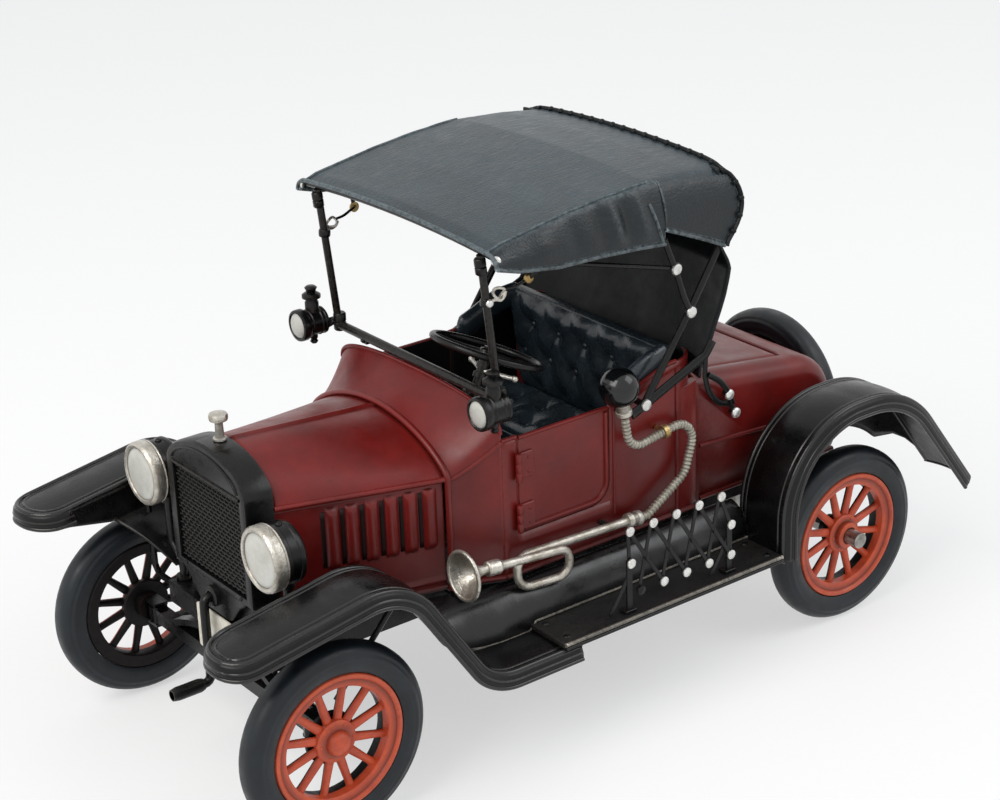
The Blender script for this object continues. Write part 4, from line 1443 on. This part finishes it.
class ROADSTER_OT_horn(bpy.types.Operator):
    """Bulb horn: flared bell, bugle loop, ribbed hose with its clip, and rubber bulb"""
    bl_idname = "roadster.horn"
    bl_label = "Bulb horn"

    def execute(self, context):
        sizes = context.scene.roadster_sizes
        x, back = 55.0, 51.2
        t = np.linspace(0, 1, 25)
        radius = 8.5 * (0.185 + 0.825 * (1 - t) ** 2.6)
        length = 9.6 * t
        profile = np.concatenate([coords(radius, length), coords(radius - 0.7, length)[::-1]])
        shapes = [lathe(profile, (x, -54.8, 69.0), (0, 1, -0.05), 44, ring=True)]
        lip = np.linspace(0, 2 * np.pi, 11)[:-1]
        roll = coords(8.3 + 0.7 * np.cos(lip), 0.2 + 0.7 * np.sin(lip))
        shapes.append(lathe(roll, (x, -54.8, 69.0), (0, 1, -0.05), 44, ring=True))
        route = [(x, -46.0, 68.4), (x, -10.5, 65.0), (x - 0.4, -10.5, 54.5), (back + 0.6, -30.0, 54.5),
                 (back, -30.0, 66.2), (back, 21.5, 64.0)]
        shapes.append(tube(even(rounded(route, 4.8), 140), 1.5, 14, X))
        ferrule = [(0, -3.0), (2.2, -3.0), (2.6, -2.6), (2.6, 1.8), (2.2, 2.2), (2.0, 3.0), (0, 3.0)]
        shapes.append(lathe(ferrule, (x, -42.4, 68.1), (0, 1, -0.09), 22))
        collar = [(0, -3.1), (2.4, -3.1), (2.7, -2.7), (2.7, -1.2), (2.2, -0.9), (2.2, 0.9), (2.7, 1.2),
                  (2.7, 2.7), (2.4, 3.1), (0, 3.1)]
        shapes.append(lathe(collar, (back, 21.1, 64.0), (0, 1, -0.08), 22))
        shapes.append((*rod((46.8, 10.0, 65.0), (back, 10.0, 65.0), 1.0, 10), "black"))
        piece("horn_bell_and_tube", shapes, "silver_tin", ["bulb_horn"])
        hose = rounded([(back, 17.8, 103.2), (back, 19.8, 90.5), (back, 51.0, 95.5), (back, 45.0, 74.5),
                        (back, 27.8, 63.6), (back, 24.6, 63.6)], (6.0, 7.0, 9.0, 1.6))
        along = np.linalg.norm(np.diff(hose, axis=0), axis=1).sum()
        count = int(along / sizes.hose_pitch) * 8
        rib = 1.44 + 0.17 * np.cos(2 * np.pi * np.linspace(0, 1, count) * (count // 8))
        clip = [(0, -1.0), (2.5, -1.0), (2.5, 1.0), (0, 1.0)]
        hold = vec(back, 35.5, 93.1)
        shapes = [(*tube(even(hose, count), rib, 14, X), "hose"),
                  (*lathe(clip, hold, (0, 1, 0.15), 18), "brass"),
                  (*rod(vec(46.9, 35.5, 93.1), hold, 1.0, 10), "brass"),
                  (*dome(hold + vec(2.3, 0, 0), X, 1.0, 0.6), "brass")]
        piece("ribbed_horn_hose", shapes, "silver_tin", ["horn_hose"])
        axis = unit(vec(0, 0.2, -1))
        centre = vec(back, 15.5, 115.0)
        a = np.linspace(0, np.pi, 33)
        bulb = coords(7.0 * np.sin(a) ** 0.92, -6.8 * np.cos(a))
        shapes = [lathe(bulb, centre, axis, 36)]
        neck = [(0, 5.2), (3.1, 5.2), (3.1, 6.4), (2.5, 6.9), (2.5, 8.9), (2.9, 9.2), (2.9, 10.6), (2.4, 11.0),
                (0, 11.0)]
        shapes.append((*lathe(neck, centre, axis, 22), "silver"))
        shapes.append((*rod((46.8, 17.4, 105.1), (back, 17.4, 105.1), 1.0, 10), "black"))
        piece("rubber_horn_bulb", shapes, "bulb_rubber", ["horn_bulb"])
        return {"FINISHED"}


GATE_X, GATE_FRONT, GATE_STEP, GATE_TOP, GATE_LOW = 70.8, 1.8, 10.3, 73.3, 49.6
GATE_CELLS = 4
GATE_LEAN = 0.46


def slat(start, end, x, width, thick, code):
    """Flat strip between two nails in the plane x, with half-round ends."""
    a, b = vec(*start), vec(*end)
    way = unit(b - a)
    side = vec(-way[1], way[0])
    t = np.linspace(-np.pi / 2, np.pi / 2, 9)[:, None]
    cap = np.concatenate([b + width / 2 * (way * np.cos(t) + side * np.sin(t)),
                          a - width / 2 * (way * np.cos(t) + side * np.sin(t))])
    return (*slab(cap[::-1], "x", x, x + thick, 0.15), code)


class ROADSTER_OT_gate(bpy.types.Operator):
    """Lazy-tongs luggage gate on the left running board"""
    bl_idname = "roadster.gate"
    bl_label = "Luggage gate"

    def execute(self, context):
        top = [(GATE_FRONT + GATE_STEP * k, GATE_TOP) for k in range(GATE_CELLS + 1)]
        low = [(y + GATE_STEP * GATE_LEAN, GATE_LOW) for y, z in top]
        posts = [(top[0][0] + 0.5, 61.2), (low[-1][0], 61.2)]
        back, front = GATE_X, GATE_X + 0.6
        shapes = []
        for k in range(GATE_CELLS):
            shapes.append(slat(top[k], low[k + 1], front, 1.5, 0.6, "black"))
            shapes.append(slat(top[k + 1], low[k], back, 1.5, 0.6, "black"))
            crossing = ((top[k][0] + low[k + 1][0]) / 2, (GATE_TOP + GATE_LOW) / 2)
            shapes.append((*dome((front + 0.5, *crossing), X, 0.8, 0.5, 12), "black"))
        shapes.append(slat(top[0], posts[0], back, 1.5, 0.6, "black"))
        shapes.append(slat(top[-1], posts[1], front, 1.5, 0.6, "black"))
        for y, z in posts:
            post = rectangle(y - 1.2, BOARD_TOP + 0.3, y + 1.2, z + 1.0, 0.6)
            shapes.append((*slab(post, "x", back - 0.2, back + 0.7, 0.15), "black"))
            shapes.append(slat((y, z - 5.0), (y - 8.0, BOARD_TOP + 1.9), back - 0.3, 1.6, 0.7, "black"))
            foot = rectangle(y - 2.4, BOARD_TOP + 0.2, y + 2.4, BOARD_TOP + 1.2, 0.3)
            shapes.append((*slab(foot, "x", back - 2.6, back + 1.4, 0.15), "black"))
        for y, z in top + low + posts:
            code = "black" if (y, z) == low[0] else "nail"
            shapes.append((*rod((back - 0.6, y, z), (front + 0.9, y, z), 0.8, 10), "black"))
            head = [(0, 0), (1.7, 0), (1.8, 0.25), (1.7, 0.6), (1.3, 0.85), (0, 0.95)]
            shapes.append((*lathe(head, (front + 0.7, y, z), X, 20), code))
        piece("lazy_tongs_gate", shapes, "silver_tin", ["luggage_gate"])
        return {"FINISHED"}


class ROADSTER_OT_front_fittings(bpy.types.Operator):
    """Starting crank and blank number plate"""
    bl_idname = "roadster.front_fittings"
    bl_label = "Crank and plate"

    def execute(self, context):
        y, z, grip_z = -120.9, 61.6, 30.6
        path = rounded([(0, -108.5, z), (0, y, z), (0, y, grip_z), (0, y - 15.0, grip_z)], 2.2)
        shapes = [tube(even(path, 60), 1.6, 14, X)]
        grip = [(0, 0), (2.0, 0), (2.4, 1.5), (2.4, 10), (2.0, 12), (0, 12)]
        shapes.append(lathe(grip, (0, y - 3.0, grip_z), (0, -1, 0), 20))
        piece("starting_crank", shapes, "black_tin", ["crank_handle"], "crank_handle")
        plate = rectangle(-12.5, 38.0, 12.5, 54.5, 1.0)
        plate = [slab(plate, "y", -117.1, -116.3, 0.15)]
        for x in (-9.5, 9.5):
            plate.append((*dome((x, -117.0, 52.3), (0, -1, 0), 0.9, 0.5), "nail"))
        piece("blank_number_plate", plate, "cream_tin", ["number_plate"])
        return {"FINISHED"}


CARRIED_OVER = {"steel": ("rear_axle", "flywheel", "friction_motor_frame"),
                "black": ("chassis_frame", "front_axle", "left_knuckle", "right_knuckle", "tie_rod",
                          "floor_pan", "spare_carrier")}


class ROADSTER_OT_undercarriage(bpy.types.Operator):
    """Finishes for the frame, axles, steering and friction motor, which keep their CAD shape"""
    bl_idname = "roadster.undercarriage"
    bl_label = "Undercarriage finishes"

    def execute(self, context):
        for code, nodes in CARRIED_OVER.items():
            for name in nodes:
                slots = bpy.data.objects[name].material_slots
                for slot in slots:
                    slot.material = finish(code)
        return {"FINISHED"}


LENS_MM, SENSOR_MM = 81.0, 36.0
CAMERA_PLACE = (0.58806, -0.44106, 0.40642)
CAMERA_AZIMUTH, CAMERA_RISE, CAMERA_ROLL = math.radians(53.402), math.radians(22.856), math.radians(-1.995)


def area_light(name, place, target, size, power, tint):
    """Soft square lamp facing a target point."""
    data = bpy.data.lights.new(name, "AREA")
    data.size, data.energy, data.color = size, power, tint
    lamp = bpy.data.objects.new(name, data)
    lamp.location = place
    lamp.rotation_euler = (Vector(target) - Vector(place)).to_track_quat("-Z", "Y").to_euler()
    bpy.context.scene.collection.objects.link(lamp)
    return lamp


def seen(tree):
    """One for rays from the camera, through glass or off gloss, else nought."""
    rays = add(tree, "ShaderNodeLightPath").outputs
    first = {0: rays["Is Camera Ray"], 1: rays["Is Transmission Ray"]}
    direct = add(tree, "ShaderNodeMath", first, operation="MAXIMUM").outputs[0]
    return add(tree, "ShaderNodeMath", {0: direct, 1: rays["Is Glossy Ray"]}, operation="MAXIMUM").outputs[0]


class ROADSTER_OT_stage(bpy.types.Operator):
    """Floor, soft studio light, white backdrop and the photograph's camera"""
    bl_idname = "roadster.stage"
    bl_label = "Stage"

    def execute(self, context):
        light = context.scene.roadster_light
        scene = context.scene
        world = bpy.data.worlds.new("white studio")
        scene.world = world
        world.use_nodes = True
        tree = world.node_tree
        tree.nodes.clear()
        room = add(tree, "ShaderNodeBackground", {"Color": srgb("eef1f4"), "Strength": light.sky})
        backdrop = add(tree, "ShaderNodeBackground", {"Color": (1, 1, 1, 1), "Strength": 1.0})
        both = add(tree, "ShaderNodeMixShader", {0: seen(tree), 1: room.outputs[0], 2: backdrop.outputs[0]})
        add(tree, "ShaderNodeOutputWorld", {"Surface": both.outputs[0]})
        floor_mesh = bpy.data.meshes.new("studio_floor")
        r = 3.0
        floor_mesh.from_pydata([(-r, -r, -0.0003), (r, -r, -0.0003), (r, r, -0.0003), (-r, r, -0.0003)], [],
                               [(0, 1, 2, 3)])
        floor = bpy.data.objects.new("studio_floor", floor_mesh)
        scene.collection.objects.link(floor)
        paper, tree, shader, place = start_material("matt_white_card_floor")
        shade = mix(tree, noise(tree, place, 3.0), light.floor, srgb("ffffff"))
        tree.links.new(shade, shader.inputs["Base Color"])
        shader.inputs["Roughness"].default_value = 0.9
        white = add(tree, "ShaderNodeEmission", {"Color": (1, 1, 1, 1), "Strength": 1.0})
        both = add(tree, "ShaderNodeMixShader",
                   {0: times(tree, seen(tree), 0.55), 1: shader.outputs[0], 2: white.outputs[0]})
        tree.links.new(both.outputs[0], tree.nodes["Material Output"].inputs["Surface"])
        floor_mesh.materials.append(paper)
        lamps = [area_light("key", (0.15, -1.0, 1.1), (0, 0, 0.08), 0.9, light.key, (1.0, 0.98, 0.95)),
                 area_light("fill", (0.75, 0.8, 1.1), (0, 0, 0.08), 0.9, light.fill, (0.95, 0.97, 1.0))]
        data = bpy.data.cameras.new("photo_camera")
        data.lens, data.sensor_width, data.sensor_fit = LENS_MM, SENSOR_MM, "HORIZONTAL"
        data.clip_start = 0.01
        camera = bpy.data.objects.new("photo_camera", data)
        away = Vector((math.sin(CAMERA_AZIMUTH) * math.cos(CAMERA_RISE),
                       -math.cos(CAMERA_AZIMUTH) * math.cos(CAMERA_RISE), math.sin(CAMERA_RISE)))
        level = Vector((math.cos(CAMERA_AZIMUTH), math.sin(CAMERA_AZIMUTH), 0))
        up = away.cross(level)
        right = level * math.cos(CAMERA_ROLL) + up * math.sin(CAMERA_ROLL)
        above = up * math.cos(CAMERA_ROLL) - level * math.sin(CAMERA_ROLL)
        turn = Matrix((right, above, away)).transposed().to_4x4()
        camera.matrix_world = Matrix.Translation(CAMERA_PLACE) @ turn
        scene.collection.objects.link(camera)
        scene.camera = camera
        scene.view_settings.view_transform = "Standard"
        return {"FINISHED"}


PIECES = (ROADSTER_OT_wheels, ROADSTER_OT_radiator, ROADSTER_OT_lamps, ROADSTER_OT_hood, ROADSTER_OT_cowl,
          ROADSTER_OT_body, ROADSTER_OT_deck, ROADSTER_OT_seat, ROADSTER_OT_controls, ROADSTER_OT_screen,
          ROADSTER_OT_fenders, ROADSTER_OT_boards, ROADSTER_OT_top, ROADSTER_OT_horn, ROADSTER_OT_gate,
          ROADSTER_OT_front_fittings, ROADSTER_OT_undercarriage, ROADSTER_OT_stage)


class ROADSTER_PT_sidebar(bpy.types.Panel):
    """Sidebar list of the roadster's pieces"""
    bl_idname = "ROADSTER_PT_sidebar"
    bl_label = "Tin roadster"
    bl_space_type = "VIEW_3D"
    bl_region_type = "UI"
    bl_category = "Roadster"

    def draw(self, context):
        for settings in (context.scene.roadster_sizes, context.scene.roadster_light):
            for name in settings.__annotations__:
                self.layout.prop(settings, name)
        for operator in PIECES:
            self.layout.operator(operator.bl_idname)


CLASSES = (RoadsterSizes, RoadsterLight, *PIECES, ROADSTER_PT_sidebar)


def register():
    """Add the settings, operators and panel to Blender."""
    for cls in CLASSES:
        bpy.utils.register_class(cls)
    bpy.types.Scene.roadster_sizes = PointerProperty(type=RoadsterSizes)
    bpy.types.Scene.roadster_light = PointerProperty(type=RoadsterLight)


def unregister():
    """Take them out again."""
    del bpy.types.Scene.roadster_sizes
    del bpy.types.Scene.roadster_light
    for cls in reversed(CLASSES):
        bpy.utils.unregister_class(cls)


def main():
    """Build every piece in order and note the box before and after."""
    register()
    for operator in PIECES:
        group, name = operator.bl_idname.split(".")
        getattr(getattr(bpy.ops, group), name)()


if __name__ == "__main__":
    main()
